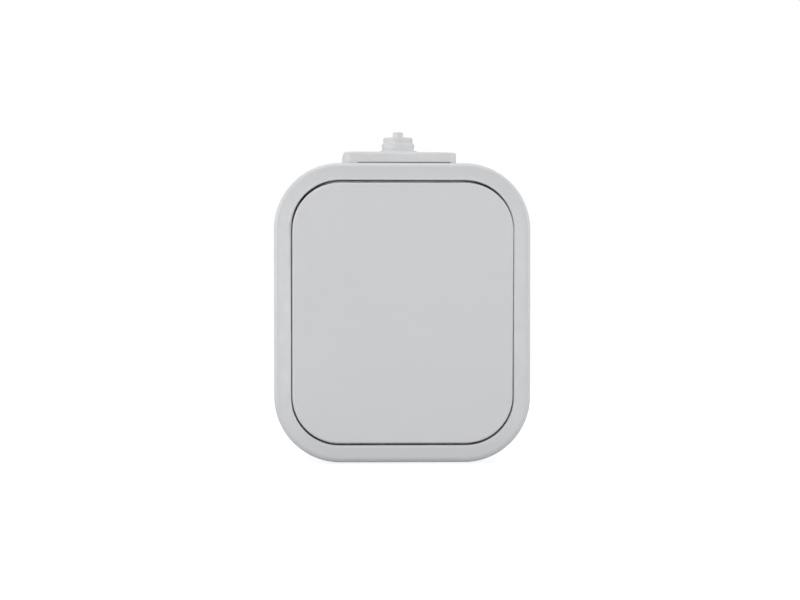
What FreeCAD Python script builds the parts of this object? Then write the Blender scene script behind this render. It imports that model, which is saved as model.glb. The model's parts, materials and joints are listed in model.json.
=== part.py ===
import FreeCAD, Part
import os
import Sketcher

# Outdoor weatherproof rocker switch, surface mounted, one gang.
# Millimetres. The back face lies in the plane Y = 0, the front looks along -Y and +Z is up.
# Depths are measured from the wall towards the front.
SIZES = {
    # front frame and its well
    "frame_width": 66.0,
    "frame_height": 77.0,
    "frame_corner": 17.0,
    "frame_depth": 17.8,
    "frame_edge_round": 1.5,
    "border_side": 4.45,
    "border_end": 4.45,
    "border_fall": 0.4,
    "well_corner": 12.3,
    "well_depth": 8.0,
    "well_mouth_round": 0.3,
    "tray_floor": 2.0,
    "collar_height": 1.2,
    "collar_wall": 1.5,
    # rear box
    "frame_overhang": 0.8,
    "box_depth": 32.0,
    "box_draft": 1.0,
    "box_wall": 2.5,
    "box_floor": 2.5,
    "box_back_round": 1.5,
    "lip_setback": 1.2,
    "lip_height": 2.5,
    "lip_clearance": 0.2,
    "seam_gap": 0.2,
    "gasket_height": 1.0,
    "gasket_width": 2.0,
    # pillars and screws that hold the frame
    "pillar_inset_side": 12.0,
    "pillar_inset_end": 12.5,
    "pillar_radius": 3.7,
    "pillar_rib": 1.6,
    "pillar_rib_reach": 8.5,
    "screw_radius": 1.25,
    "screw_clearance": 0.05,
    "screw_hole_radius": 1.7,
    "frame_screw_reach": 12.0,
    "screw_tip_gap": 1.5,
    "head_radius": 2.8,
    "head_height": 2.0,
    "head_bevel": 0.6,
    "screw_seal_radius": 3.2,
    "screw_seal_height": 0.8,
    "screw_seal_sink": 0.6,
    "seal_clearance": 0.1,
    # wall fixing holes
    "fixing_inset_side": 11.0,
    "fixing_inset_end": 11.5,
    "fixing_hole_radius": 2.3,
    "fixing_boss_radius": 5.8,
    "fixing_boss_height": 2.0,
    "fixing_seal_radius": 4.3,
    "fixing_seal_height": 1.4,
    "fixing_seal_sink": 1.2,
    "fixing_dimple_radius": 1.6,
    "fixing_skin": 0.4,
    # knock-outs
    "entry_knockout_radius": 10.0,
    "drain_knockout_radius": 2.6,
    "drain_knockout_side": 19.0,
    "rear_knockout_radius": 7.5,
    "rear_knockout_rise": 27.0,
    "knockout_groove_width": 0.8,
    "knockout_groove_depth": 1.2,
    # cable gland
    "gland_width": 30.2,
    "gland_length": 24.0,
    "gland_front_gap": 0.4,
    "gland_corner": 2.5,
    "gland_plate_height": 4.8,
    "gland_plate_draft": 3.0,
    "gland_plate_round": 0.8,
    "gland_slot_width": 24.0,
    "gland_lap": 2.6,
    "gland_clearance": 0.1,
    "gland_flange": 1.8,
    "crown_radius": 10.8,
    "crown_rise": 0.2,
    "flare_radius": 7.0,
    "flare_height": 0.65,
    "waist_radius": 4.15,
    "ring_one_radius": 4.35,
    "ring_one_height": 1.7,
    "ring_shoulder": 0.3,
    "ring_two_radius": 3.95,
    "ring_two_height": 1.3,
    "nipple_tip_radius": 1.35,
    "nipple_tip_height": 1.5,
    "undercut_left": 11.4,
    "undercut_right": 13.0,
    "undercut_rise": 2.0,
    "undercut_depth": 3.0,
    "nipple_wall": 1.0,
    "nipple_round": 0.4,
    # rocker
    "rocker_side_gap": 0.25,
    "rocker_end_gap": 0.65,
    "rocker_proud": 1.6,
    "rocker_plate": 2.0,
    "rocker_wall": 1.6,
    "rocker_edge_round": 0.5,
    "rocker_tilt": 3.0,
    "rocker_floor_gap": 0.75,
    "rocker_rib": 1.6,
    "rocker_rib_height": 2.2,
    "pivot_setback": 2.9,
    "pin_radius": 1.5,
    "pin_clearance": 0.05,
    "pin_end_gap": 0.3,
    "lug_thickness": 2.6,
    "lug_half_width": 3.6,
    "lug_rise": 1.5,
    "lug_mouth": 2.4,
    "lug_gap": 1.0,
    "ear_thickness": 2.4,
    "ear_half_width": 3.0,
    "ear_drop": 2.7,
    "ear_gap": 0.3,
    "post_radius": 4.5,
    "post_gap": 1.0,
    # plunger and its spring
    "plunger_radius": 2.2,
    "plunger_clearance": 0.05,
    "plunger_length": 10.0,
    "plunger_tip_round": 2.0,
    "plunger_tip_gap": 0.05,
    "plunger_bore_depth": 15.0,
    "spring_seat_depth": 4.0,
    "spring_radius": 1.4,
    "spring_wire_radius": 0.2,
    "spring_seat_gap": 0.1,
    "spring_turns": 6.0,
    # boot round the post
    "boot_radius": 8.0,
    "boot_fit": 0.05,
    "boot_lap": 1.5,
    "boot_flange": 1.0,
    "boot_bead": 0.8,
    "boot_sleeve": 1.3,
    "boot_fold": 1.2,
    "boot_web": 1.2,
    "boot_clearance": 0.2,
    # switch block
    "base_standoff": 4.0,
    "base_width": 36.0,
    "base_length": 40.0,
    "base_corner": 2.0,
    "base_height": 13.5,
    "base_floor": 2.0,
    "cover_thickness": 1.5,
    "cover_window_width": 7.0,
    "cover_window_length": 10.0,
    "base_screw_side_inset": 4.2,
    "base_screw_end_inset": 4.5,
    "base_screw_seat": 3.0,
    "base_pillar_radius": 3.5,
    "head_clearance": 0.4,
    "chamber_half_width": 4.5,
    "chamber_half_length": 12.0,
    "chamber_gap": 0.5,
    # terminals
    "terminal_side": 10.5,
    "terminal_inset": 8.5,
    "clamp_width": 6.0,
    "clamp_length": 7.0,
    "clamp_height": 7.0,
    "clamp_gap": 1.0,
    "wire_hole_radius": 1.6,
    "wire_hole_rise": 3.0,
    "terminal_head_radius": 2.2,
    "terminal_head_height": 2.2,
    "strip_thickness": 1.0,
    "strip_width": 3.0,
    "cross_gap": 1.6,
    # contacts
    "seesaw_sink": 3.8,
    "seesaw_tilt_ratio": 3.0,
    "seesaw_width": 5.5,
    "seesaw_arm": 10.5,
    "seesaw_thickness": 0.8,
    "nose_radius": 0.8,
    "nose_clearance": 0.05,
    "saddle_wall": 0.25,
    "saddle_half_length": 1.8,
    "saddle_drop": 0.15,
    "contact_reach": 9.0,
    "contact_radius": 1.5,
    "moving_contact_height": 0.7,
    "fixed_contact_height": 1.2,
    "contact_bevel": 0.3,
    "stop_gap": 0.1,
    "stop_length": 2.4,
}

# box outline at its front rim, and how much the draft narrows it at the wall
BOX_WIDTH = "(Sizes.frame_width - 2 * Sizes.frame_overhang)"
BOX_HEIGHT = "(Sizes.frame_height - 2 * Sizes.frame_overhang)"
BOX_CORNER = "(Sizes.frame_corner - Sizes.frame_overhang)"
BOX_NARROWING = "(Sizes.box_depth * tan(Sizes.box_draft))"
LIP_WIDTH = f"({BOX_WIDTH} - 2 * Sizes.lip_setback)"
LIP_HEIGHT = f"({BOX_HEIGHT} - 2 * Sizes.lip_setback)"
LIP_CORNER = f"({BOX_CORNER} - Sizes.lip_setback)"
SHOULDER_DEPTH = "(Sizes.box_depth - Sizes.lip_height)"

# depths of the frame
FRAME_BACK = f"({SHOULDER_DEPTH} + Sizes.seam_gap)"
FRAME_FRONT = f"({FRAME_BACK} + Sizes.frame_depth)"
LEDGE_DEPTH = "(Sizes.box_depth + Sizes.gasket_height)"
TRAY_FRONT = f"({FRAME_FRONT} - Sizes.well_depth)"
TRAY_BACK = f"({TRAY_FRONT} - Sizes.tray_floor)"
WELL_WIDTH = "(Sizes.frame_width - 2 * Sizes.border_side)"
WELL_HEIGHT = "(Sizes.frame_height - 2 * Sizes.border_end)"

# places of the screws
PILLAR_SIDE = "(Sizes.frame_width / 2 - Sizes.pillar_inset_side)"
PILLAR_RISE = "(Sizes.frame_height / 2 - Sizes.pillar_inset_end)"
FIXING_SIDE = "(Sizes.frame_width / 2 - Sizes.fixing_inset_side)"
FIXING_RISE = "(Sizes.frame_height / 2 - Sizes.fixing_inset_end)"
FRAME_HEAD_SEAT = f"({TRAY_FRONT} - Sizes.screw_seal_sink + Sizes.screw_seal_height)"
PILOT_RADIUS = "(Sizes.screw_radius + Sizes.screw_clearance)"

# rocker, measured forward from its pivot axis
PIVOT_DEPTH = f"({FRAME_FRONT} - Sizes.pivot_setback)"
ROCKER_WIDTH = f"({WELL_WIDTH} - 2 * Sizes.rocker_side_gap)"
ROCKER_HEIGHT = f"({WELL_HEIGHT} - 2 * Sizes.rocker_end_gap)"
ROCKER_CORNER = "(Sizes.well_corner - Sizes.rocker_side_gap)"
FACE_RISE = "(Sizes.pivot_setback + Sizes.rocker_proud)"
PLATE_BACK = f"({FACE_RISE} - Sizes.rocker_plate)"
SKIRT_DROP = (
    f"(Sizes.well_depth - Sizes.pivot_setback - Sizes.rocker_floor_gap"
    f" - {ROCKER_HEIGHT} / 2 * sin(Sizes.rocker_tilt))"
)
LUG_OUTSIDE = f"({ROCKER_WIDTH} / 2 - Sizes.rocker_wall - Sizes.lug_gap)"
LUG_INSIDE = f"({LUG_OUTSIDE} - Sizes.lug_thickness)"
EAR_OUTSIDE = f"({LUG_INSIDE} - Sizes.ear_gap)"

# switch block and contacts
BASE_BACK = "(Sizes.box_floor + Sizes.base_standoff)"
BASE_FRONT = f"({BASE_BACK} + Sizes.base_height)"
CHAMBER_FLOOR = f"({BASE_BACK} + Sizes.base_floor)"
STRIP_FRONT = f"({CHAMBER_FLOOR} + Sizes.strip_thickness)"
CLAMP_FRONT = f"({STRIP_FRONT} + Sizes.clamp_height)"
WIRE_DEPTH = f"({STRIP_FRONT} + Sizes.wire_hole_rise)"
TERMINAL_RISE = "(Sizes.base_length / 2 - Sizes.terminal_inset)"
STOP_LOW = "(Sizes.chamber_half_length - Sizes.stop_length)"
CROSS_HIGH = f"({STOP_LOW} - Sizes.cross_gap)"
CROSS_LOW = f"({CROSS_HIGH} - Sizes.strip_width)"
BASE_SCREW_SIDE = "(Sizes.base_width / 2 - Sizes.base_screw_side_inset)"
BASE_SCREW_DROP = "(Sizes.base_length / 2 - Sizes.base_screw_end_inset)"
SEESAW_DEPTH = f"({BASE_FRONT} - Sizes.seesaw_sink)"
SEESAW_TILT = "(Sizes.rocker_tilt * Sizes.seesaw_tilt_ratio)"
STRIP_BACK_RISE = "(Sizes.nose_radius + Sizes.nose_clearance + Sizes.saddle_wall)"
CONTACT_FACE_RISE = f"({STRIP_BACK_RISE} - Sizes.moving_contact_height)"
CONTACT_EDGE = "(Sizes.contact_reach + Sizes.contact_radius)"
FIXED_FACE = (
    f"({SEESAW_DEPTH} + {CONTACT_FACE_RISE} * cos({SEESAW_TILT})"
    f" - {CONTACT_EDGE} * sin({SEESAW_TILT}) - Sizes.stop_gap)"
)
STOP_FACE = (
    f"({SEESAW_DEPTH} + {STRIP_BACK_RISE} * cos({SEESAW_TILT})"
    f" - Sizes.seesaw_arm * sin({SEESAW_TILT}) - Sizes.stop_gap)"
)

# plunger, measured back from the rocker's pivot axis
POST_END = f"({PIVOT_DEPTH} - {BASE_FRONT} - Sizes.cover_thickness - Sizes.post_gap)"
TIP_REACH = (
    f"({PIVOT_DEPTH} - {SEESAW_DEPTH} - {STRIP_BACK_RISE}"
    f" - Sizes.seesaw_thickness - Sizes.plunger_tip_gap)"
)
BORE_END = f"({POST_END} - Sizes.plunger_bore_depth)"
SEAT_REACH = f"({TIP_REACH} - Sizes.plunger_length + Sizes.spring_seat_depth)"
SPRING_MARGIN = "(Sizes.spring_wire_radius + Sizes.plunger_clearance)"

# cable gland heights above the middle of the switch
GLAND_SEAT = f"({BOX_HEIGHT} / 2 + Sizes.gland_clearance / 2)"
GLAND_TOP = f"({GLAND_SEAT} + Sizes.gland_plate_height)"
GLAND_INSIDE = f"({BOX_HEIGHT} / 2 - Sizes.box_wall - {BOX_NARROWING} - Sizes.gland_clearance / 2)"
GLAND_FRONT = f"({FRAME_BACK} - Sizes.gland_front_gap)"
GLAND_BACK = f"({GLAND_FRONT} - Sizes.gland_length)"
GLAND_AXIS = f"({GLAND_FRONT} - Sizes.gland_length / 2)"
SLOT_BACK = f"({GLAND_BACK} + Sizes.gland_lap)"

FRONT_PLANE = "XZ_Plane"
TOP_PLANE = "XY_Plane"
SIDE_PLANE = "YZ_Plane"
TOUCH = 1e-4


def fill_sheet(doc):
    sheet = doc.addObject("Spreadsheet::Sheet", "Sizes")
    for row, (name, value) in enumerate(SIZES.items(), start=1):
        sheet.set(f"A{row}", name)
        sheet.set(f"B{row}", str(value))
        sheet.setAlias(f"B{row}", name)
    doc.recompute()
    return sheet


def new_body(doc, name):
    body = doc.addObject("PartDesign::Body", name)
    body.Label = name
    body.AllowCompound = True
    return body


def new_sketch(body, name, role, offset="0"):
    sketch = body.newObject("Sketcher::SketchObject", f"{body.Name}_{name}")
    plane = next(item for item in body.Origin.OriginFeatures if item.Role == role)
    sketch.AttachmentSupport = [(plane, "")]
    sketch.MapMode = "FlatFace"
    sketch.setExpression("AttachmentOffset.Base.z", offset)
    return sketch


def bind_distance(sketch, kind, start, end, expression):
    value = sketch.evalExpression(expression)
    index = sketch.addConstraint(Sketcher.Constraint(kind, *start, *end, value))
    sketch.setExpression(f"Constraints[{index}]", expression)


def bind_radius(sketch, item, expression):
    value = sketch.evalExpression(expression)
    index = sketch.addConstraint(Sketcher.Constraint("Radius", item, value))
    sketch.setExpression(f"Constraints[{index}]", expression)


def add_polygon(sketch, points):
    corners = [
        FreeCAD.Vector(sketch.evalExpression(across), sketch.evalExpression(up), 0)
        for across, up in points
    ]
    first = sketch.GeometryCount
    count = len(corners)
    for place in range(count):
        sketch.addGeometry(Part.LineSegment(corners[place], corners[(place + 1) % count]), False)
    for place in range(count):
        following = first + (place + 1) % count
        sketch.addConstraint(Sketcher.Constraint("Coincident", first + place, 2, following, 1))
    for place, (across, up) in enumerate(points):
        bind_distance(sketch, "DistanceX", (-1, 1), (first + place, 1), across)
        bind_distance(sketch, "DistanceY", (-1, 1), (first + place, 1), up)


def add_rectangle(sketch, left, right, low, high):
    add_polygon(sketch, [(left, low), (right, low), (right, high), (left, high)])


def add_circle(sketch, across, up, radius):
    middle = FreeCAD.Vector(sketch.evalExpression(across), sketch.evalExpression(up), 0)
    size = sketch.evalExpression(radius)
    item = sketch.addGeometry(Part.Circle(middle, FreeCAD.Vector(0, 0, 1), size), False)
    bind_distance(sketch, "DistanceX", (-1, 1), (item, 3), across)
    bind_distance(sketch, "DistanceY", (-1, 1), (item, 3), up)
    bind_radius(sketch, item, radius)


def add_rounded(sketch, width, height, corner, middle="0"):
    half_w = sketch.evalExpression(width) / 2
    half_h = sketch.evalExpression(height) / 2
    rise = sketch.evalExpression(middle)
    size = sketch.evalExpression(corner)
    first = sketch.GeometryCount
    spots = [(1, 1, 0), (1, -1, 270), (-1, -1, 180), (-1, 1, 90)]
    for across, up, turn in spots:
        hub = FreeCAD.Vector(across * (half_w - size), rise + up * (half_h - size), 0)
        circle = Part.Circle(hub, FreeCAD.Vector(0, 0, 1), size)
        start = FreeCAD.Units.Quantity(turn, "deg").getValueAs("rad").Value
        end = FreeCAD.Units.Quantity(turn + 90, "deg").getValueAs("rad").Value
        sketch.addGeometry(Part.ArcOfCircle(circle, start, end), False)
    arcs = [sketch.Geometry[first + place] for place in range(4)]
    for place in range(4):
        begin = arcs[place].StartPoint
        finish = arcs[(place + 1) % 4].EndPoint
        sketch.addGeometry(Part.LineSegment(begin, finish), False)
    for place in range(4):
        line = first + 4 + place
        following = first + (place + 1) % 4
        sketch.addConstraint(Sketcher.Constraint("Tangent", first + place, 1, line, 1))
        sketch.addConstraint(Sketcher.Constraint("Tangent", line, 2, following, 2))
        if place:
            sketch.addConstraint(Sketcher.Constraint("Equal", first, first + place))
    right, bottom, left, top = (first + 4 + place for place in range(4))
    for line in (right, left):
        sketch.addConstraint(Sketcher.Constraint("Vertical", line))
    for line in (bottom, top):
        sketch.addConstraint(Sketcher.Constraint("Horizontal", line))
    bind_distance(sketch, "DistanceX", (-1, 1), (right, 1), f"{width} / 2")
    bind_distance(sketch, "DistanceX", (-1, 1), (left, 1), f"-{width} / 2")
    bind_distance(sketch, "DistanceY", (-1, 1), (top, 1), f"{middle} + {height} / 2")
    bind_distance(sketch, "DistanceY", (-1, 1), (bottom, 1), f"{middle} - {height} / 2")
    bind_radius(sketch, first, corner)


def pad(body, sketch, length, taper="0", backward=False):
    feature = body.newObject("PartDesign::Pad", f"{sketch.Name}_pad")
    feature.Profile = sketch
    feature.setExpression("Length", length)
    feature.setExpression("TaperAngle", taper)
    feature.Reversed = backward
    before = body.Shape.Volume if body.Shape.Solids else 0
    body.Document.recompute()
    if body.Shape.Volume < before + TOUCH:
        raise RuntimeError(f"{feature.Name} adds nothing")
    return feature


def pocket(body, sketch, length, taper="0", forward=False):
    before = body.Shape.Volume
    feature = body.newObject("PartDesign::Pocket", f"{sketch.Name}_cut")
    feature.Profile = sketch
    feature.setExpression("Length", length)
    feature.setExpression("TaperAngle", taper)
    feature.Reversed = forward
    body.Document.recompute()
    if body.Shape.Volume > before - TOUCH:
        raise RuntimeError(f"{feature.Name} cuts nothing")
    return feature


def edges_in_slab(body, axis, place, half_width=None, half_height=None):
    low, high = {"Y": ("YMin", "YMax"), "Z": ("ZMin", "ZMax")}[axis]
    names = []
    for number, edge in enumerate(body.Tip.Shape.Edges, start=1):
        box = edge.BoundBox
        inside = abs(getattr(box, low) - place) < TOUCH and abs(getattr(box, high) - place) < TOUCH
        if inside and half_width is not None:
            inside = max(abs(box.XMin), abs(box.XMax)) < half_width
        if inside and half_height is not None:
            inside = max(abs(box.ZMin), abs(box.ZMax)) < half_height
        if inside:
            names.append(f"Edge{number}")
    return names


def fillet(body, names, radius):
    tip = body.Tip
    feature = body.newObject("PartDesign::Fillet", f"{body.Name}_round")
    feature.Base = (tip, names)
    feature.setExpression("Radius", radius)
    body.Document.recompute()
    return feature


def bevel(body, names, size):
    tip = body.Tip
    feature = body.newObject("PartDesign::Chamfer", f"{body.Name}_bevel")
    feature.Base = (tip, names)
    feature.setExpression("Size", size)
    body.Document.recompute()
    return feature


def pair_of_circles(sketch, side, rise, radius):
    add_circle(sketch, side, rise, radius)
    add_circle(sketch, f"-({side})", f"-({rise})", radius)


def level_pair(sketch, side, rise, radius):
    add_circle(sketch, f"-{side}", rise, radius)
    add_circle(sketch, side, rise, radius)


def hang_on_axis(item, depth, turn):
    item.Placement = FreeCAD.Placement(FreeCAD.Vector(), FreeCAD.Rotation(FreeCAD.Vector(1, 0, 0), 1))
    item.setExpression("Placement.Base.y", f"-{depth}")
    item.setExpression("Placement.Rotation.Angle", turn)


def make_rear_box(doc):
    body = new_body(doc, "rear_box")
    outline = new_sketch(body, "outline", FRONT_PLANE)
    add_rounded(
        outline,
        f"({BOX_WIDTH} - 2 * {BOX_NARROWING})",
        f"({BOX_HEIGHT} - 2 * {BOX_NARROWING})",
        f"({BOX_CORNER} - {BOX_NARROWING})",
    )
    pad(body, outline, "Sizes.box_depth", taper="Sizes.box_draft")
    fillet(body, edges_in_slab(body, "Y", 0), "Sizes.box_back_round")

    cavity = new_sketch(body, "cavity", FRONT_PLANE, "Sizes.box_depth")
    add_rounded(
        cavity,
        f"({BOX_WIDTH} - 2 * Sizes.box_wall)",
        f"({BOX_HEIGHT} - 2 * Sizes.box_wall)",
        f"({BOX_CORNER} - Sizes.box_wall)",
    )
    pocket(body, cavity, "Sizes.box_depth - Sizes.box_floor", taper="-Sizes.box_draft")

    rim = new_sketch(body, "rim", FRONT_PLANE, "Sizes.box_depth")
    add_rounded(rim, "Sizes.frame_width", "Sizes.frame_height", "Sizes.frame_corner")
    add_rounded(rim, LIP_WIDTH, LIP_HEIGHT, LIP_CORNER)
    pocket(body, rim, "Sizes.lip_height")

    pillars = new_sketch(body, "pillars", FRONT_PLANE, "Sizes.box_floor")
    pair_of_circles(pillars, f"-{PILLAR_SIDE}", PILLAR_RISE, "Sizes.pillar_radius")
    pad(body, pillars, f"{TRAY_BACK} - Sizes.box_floor")
    ribs = new_sketch(body, "ribs", FRONT_PLANE, "Sizes.box_floor")
    far_side = f"({PILLAR_SIDE} + Sizes.pillar_rib_reach)"
    low = f"({PILLAR_RISE} - Sizes.pillar_rib / 2)"
    high = f"({PILLAR_RISE} + Sizes.pillar_rib / 2)"
    add_rectangle(ribs, f"-{far_side}", f"-{PILLAR_SIDE}", low, high)
    add_rectangle(ribs, PILLAR_SIDE, far_side, f"-{high}", f"-{low}")
    pad(body, ribs, f"{SHOULDER_DEPTH} - 2 * Sizes.box_floor")
    feet = new_sketch(body, "feet", FRONT_PLANE, "Sizes.box_floor")
    level_pair(feet, BASE_SCREW_SIDE, f"-{BASE_SCREW_DROP}", "Sizes.base_pillar_radius")
    pad(body, feet, "Sizes.base_standoff")
    bosses = new_sketch(body, "bosses", FRONT_PLANE, "Sizes.box_floor")
    pair_of_circles(bosses, FIXING_SIDE, FIXING_RISE, "Sizes.fixing_boss_radius")
    pad(body, bosses, "Sizes.fixing_boss_height")

    boss_top = "(Sizes.box_floor + Sizes.fixing_boss_height)"
    holes = new_sketch(body, "fixing_holes", FRONT_PLANE, boss_top)
    pair_of_circles(holes, FIXING_SIDE, FIXING_RISE, "Sizes.fixing_hole_radius")
    pocket(body, holes, boss_top)
    seats = new_sketch(body, "fixing_seats", FRONT_PLANE, boss_top)
    pair_of_circles(seats, FIXING_SIDE, FIXING_RISE, "Sizes.fixing_seal_radius")
    pocket(body, seats, "Sizes.fixing_seal_sink")
    pilots = new_sketch(body, "frame_pilots", FRONT_PLANE, TRAY_BACK)
    pair_of_circles(pilots, f"-{PILLAR_SIDE}", PILLAR_RISE, PILOT_RADIUS)
    pocket(body, pilots, "Sizes.frame_screw_reach + Sizes.screw_tip_gap")
    base_pilots = new_sketch(body, "base_pilots", FRONT_PLANE, BASE_BACK)
    level_pair(base_pilots, BASE_SCREW_SIDE, f"-{BASE_SCREW_DROP}", PILOT_RADIUS)
    pocket(body, base_pilots, "Sizes.base_standoff + Sizes.box_floor / 4")

    slot = new_sketch(body, "gland_slot", TOP_PLANE, "Sizes.frame_height / 2")
    half_slot = "Sizes.gland_slot_width / 2"
    add_rectangle(slot, f"-{half_slot}", half_slot, "-Sizes.box_depth", f"-{SLOT_BACK}")
    pocket(body, slot, f"Sizes.frame_height / 2 - {GLAND_INSIDE} + Sizes.gland_flange")

    knockouts = new_sketch(body, "low_knockouts", TOP_PLANE, "-Sizes.frame_height / 2")
    for across, radius in (
        ("0", "Sizes.entry_knockout_radius"),
        ("Sizes.drain_knockout_side", "Sizes.drain_knockout_radius"),
    ):
        add_circle(knockouts, across, f"-{GLAND_AXIS}", radius)
        add_circle(knockouts, across, f"-{GLAND_AXIS}", f"({radius} - Sizes.knockout_groove_width)")
    groove_reach = f"Sizes.frame_overhang + {BOX_NARROWING} / 2 + Sizes.knockout_groove_depth"
    pocket(body, knockouts, groove_reach, forward=True)
    back_knockout = new_sketch(body, "back_knockout", FRONT_PLANE)
    rear_radius = "Sizes.rear_knockout_radius"
    add_circle(back_knockout, "0", "Sizes.rear_knockout_rise", rear_radius)
    add_circle(
        back_knockout,
        "0",
        "Sizes.rear_knockout_rise",
        f"({rear_radius} - Sizes.knockout_groove_width)",
    )
    pocket(body, back_knockout, "Sizes.knockout_groove_depth", forward=True)
    return body


def make_front_frame(doc):
    body = new_body(doc, "front_frame")
    outline = new_sketch(body, "outline", FRONT_PLANE, FRAME_BACK)
    add_rounded(outline, "Sizes.frame_width", "Sizes.frame_height", "Sizes.frame_corner")
    pad(body, outline, "Sizes.frame_depth")
    front = -body.evalExpression(FRAME_FRONT)
    block = body.Tip
    front_edges = edges_in_slab(body, "Y", front)
    slope = body.newObject("PartDesign::Chamfer", "front_frame_slope")
    slope.Base = (block, front_edges)
    slope.ChamferType = "Two distances"
    slope.setExpression("Size", "Sizes.border_fall")
    slope.setExpression("Size2", "Sizes.border_side - 2 * Sizes.well_mouth_round")
    doc.recompute()
    rim = front + body.evalExpression("Sizes.border_fall")
    if not edges_in_slab(body, "Y", rim):
        slope.FlipDirection = True
        doc.recompute()
    fillet(body, edges_in_slab(body, "Y", rim), "Sizes.frame_edge_round")

    well = new_sketch(body, "well", FRONT_PLANE, FRAME_FRONT)
    add_rounded(well, WELL_WIDTH, WELL_HEIGHT, "Sizes.well_corner")
    pocket(body, well, "Sizes.well_depth")

    ledge = new_sketch(body, "ledge", FRONT_PLANE, FRAME_BACK)
    add_rounded(
        ledge,
        f"({LIP_WIDTH} + 2 * Sizes.lip_clearance)",
        f"({LIP_HEIGHT} + 2 * Sizes.lip_clearance)",
        f"({LIP_CORNER} + Sizes.lip_clearance)",
    )
    pocket(body, ledge, f"{LEDGE_DEPTH} - {FRAME_BACK}", forward=True)
    back = new_sketch(body, "back", FRONT_PLANE, LEDGE_DEPTH)
    add_rounded(back, WELL_WIDTH, WELL_HEIGHT, "Sizes.well_corner")
    pocket(body, back, f"{TRAY_BACK} - {LEDGE_DEPTH}", forward=True)

    lugs = new_sketch(body, "lugs", FRONT_PLANE, TRAY_FRONT)
    wide = "Sizes.lug_half_width"
    add_rectangle(lugs, LUG_INSIDE, LUG_OUTSIDE, f"-{wide}", wide)
    add_rectangle(lugs, f"-{LUG_OUTSIDE}", f"-{LUG_INSIDE}", f"-{wide}", wide)
    pad(body, lugs, f"{PIVOT_DEPTH} + Sizes.lug_rise - {TRAY_FRONT}")
    bearing = new_sketch(body, "bearing", SIDE_PLANE, LUG_OUTSIDE)
    add_circle(bearing, f"-{PIVOT_DEPTH}", "0", "(Sizes.pin_radius + Sizes.pin_clearance)")
    pocket(body, bearing, f"2 * {LUG_OUTSIDE}")
    mouth = new_sketch(body, "bearing_mouth", SIDE_PLANE, LUG_OUTSIDE)
    half_mouth = "Sizes.lug_mouth / 2"
    add_rectangle(
        mouth,
        f"-{PIVOT_DEPTH} - 2 * Sizes.lug_rise",
        f"-{PIVOT_DEPTH}",
        f"-{half_mouth}",
        half_mouth,
    )
    pocket(body, mouth, f"2 * {LUG_OUTSIDE}")

    collar = new_sketch(body, "collar", FRONT_PLANE, TRAY_FRONT)
    add_circle(collar, "0", "0", "(Sizes.boot_radius + Sizes.collar_wall)")
    pad(body, collar, "Sizes.collar_height")
    window = new_sketch(body, "window", FRONT_PLANE, f"{TRAY_FRONT} + Sizes.collar_height")
    add_circle(window, "0", "0", "Sizes.boot_radius")
    pocket(body, window, "Sizes.collar_height + Sizes.tray_floor")
    screw_holes = new_sketch(body, "screw_holes", FRONT_PLANE, TRAY_FRONT)
    pair_of_circles(screw_holes, f"-{PILLAR_SIDE}", PILLAR_RISE, "Sizes.screw_hole_radius")
    pocket(body, screw_holes, "Sizes.tray_floor")
    seal_seats = new_sketch(body, "seal_seats", FRONT_PLANE, TRAY_FRONT)
    pair_of_circles(seal_seats, f"-{PILLAR_SIDE}", PILLAR_RISE, "Sizes.screw_seal_radius")
    pocket(body, seal_seats, "Sizes.screw_seal_sink")

    mouth_edges = edges_in_slab(
        body,
        "Y",
        front,
        half_width=body.evalExpression(f"{WELL_WIDTH} / 2") + TOUCH,
        half_height=body.evalExpression(f"{WELL_HEIGHT} / 2") + TOUCH,
    )
    fillet(body, mouth_edges, "Sizes.well_mouth_round")
    return body


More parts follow.
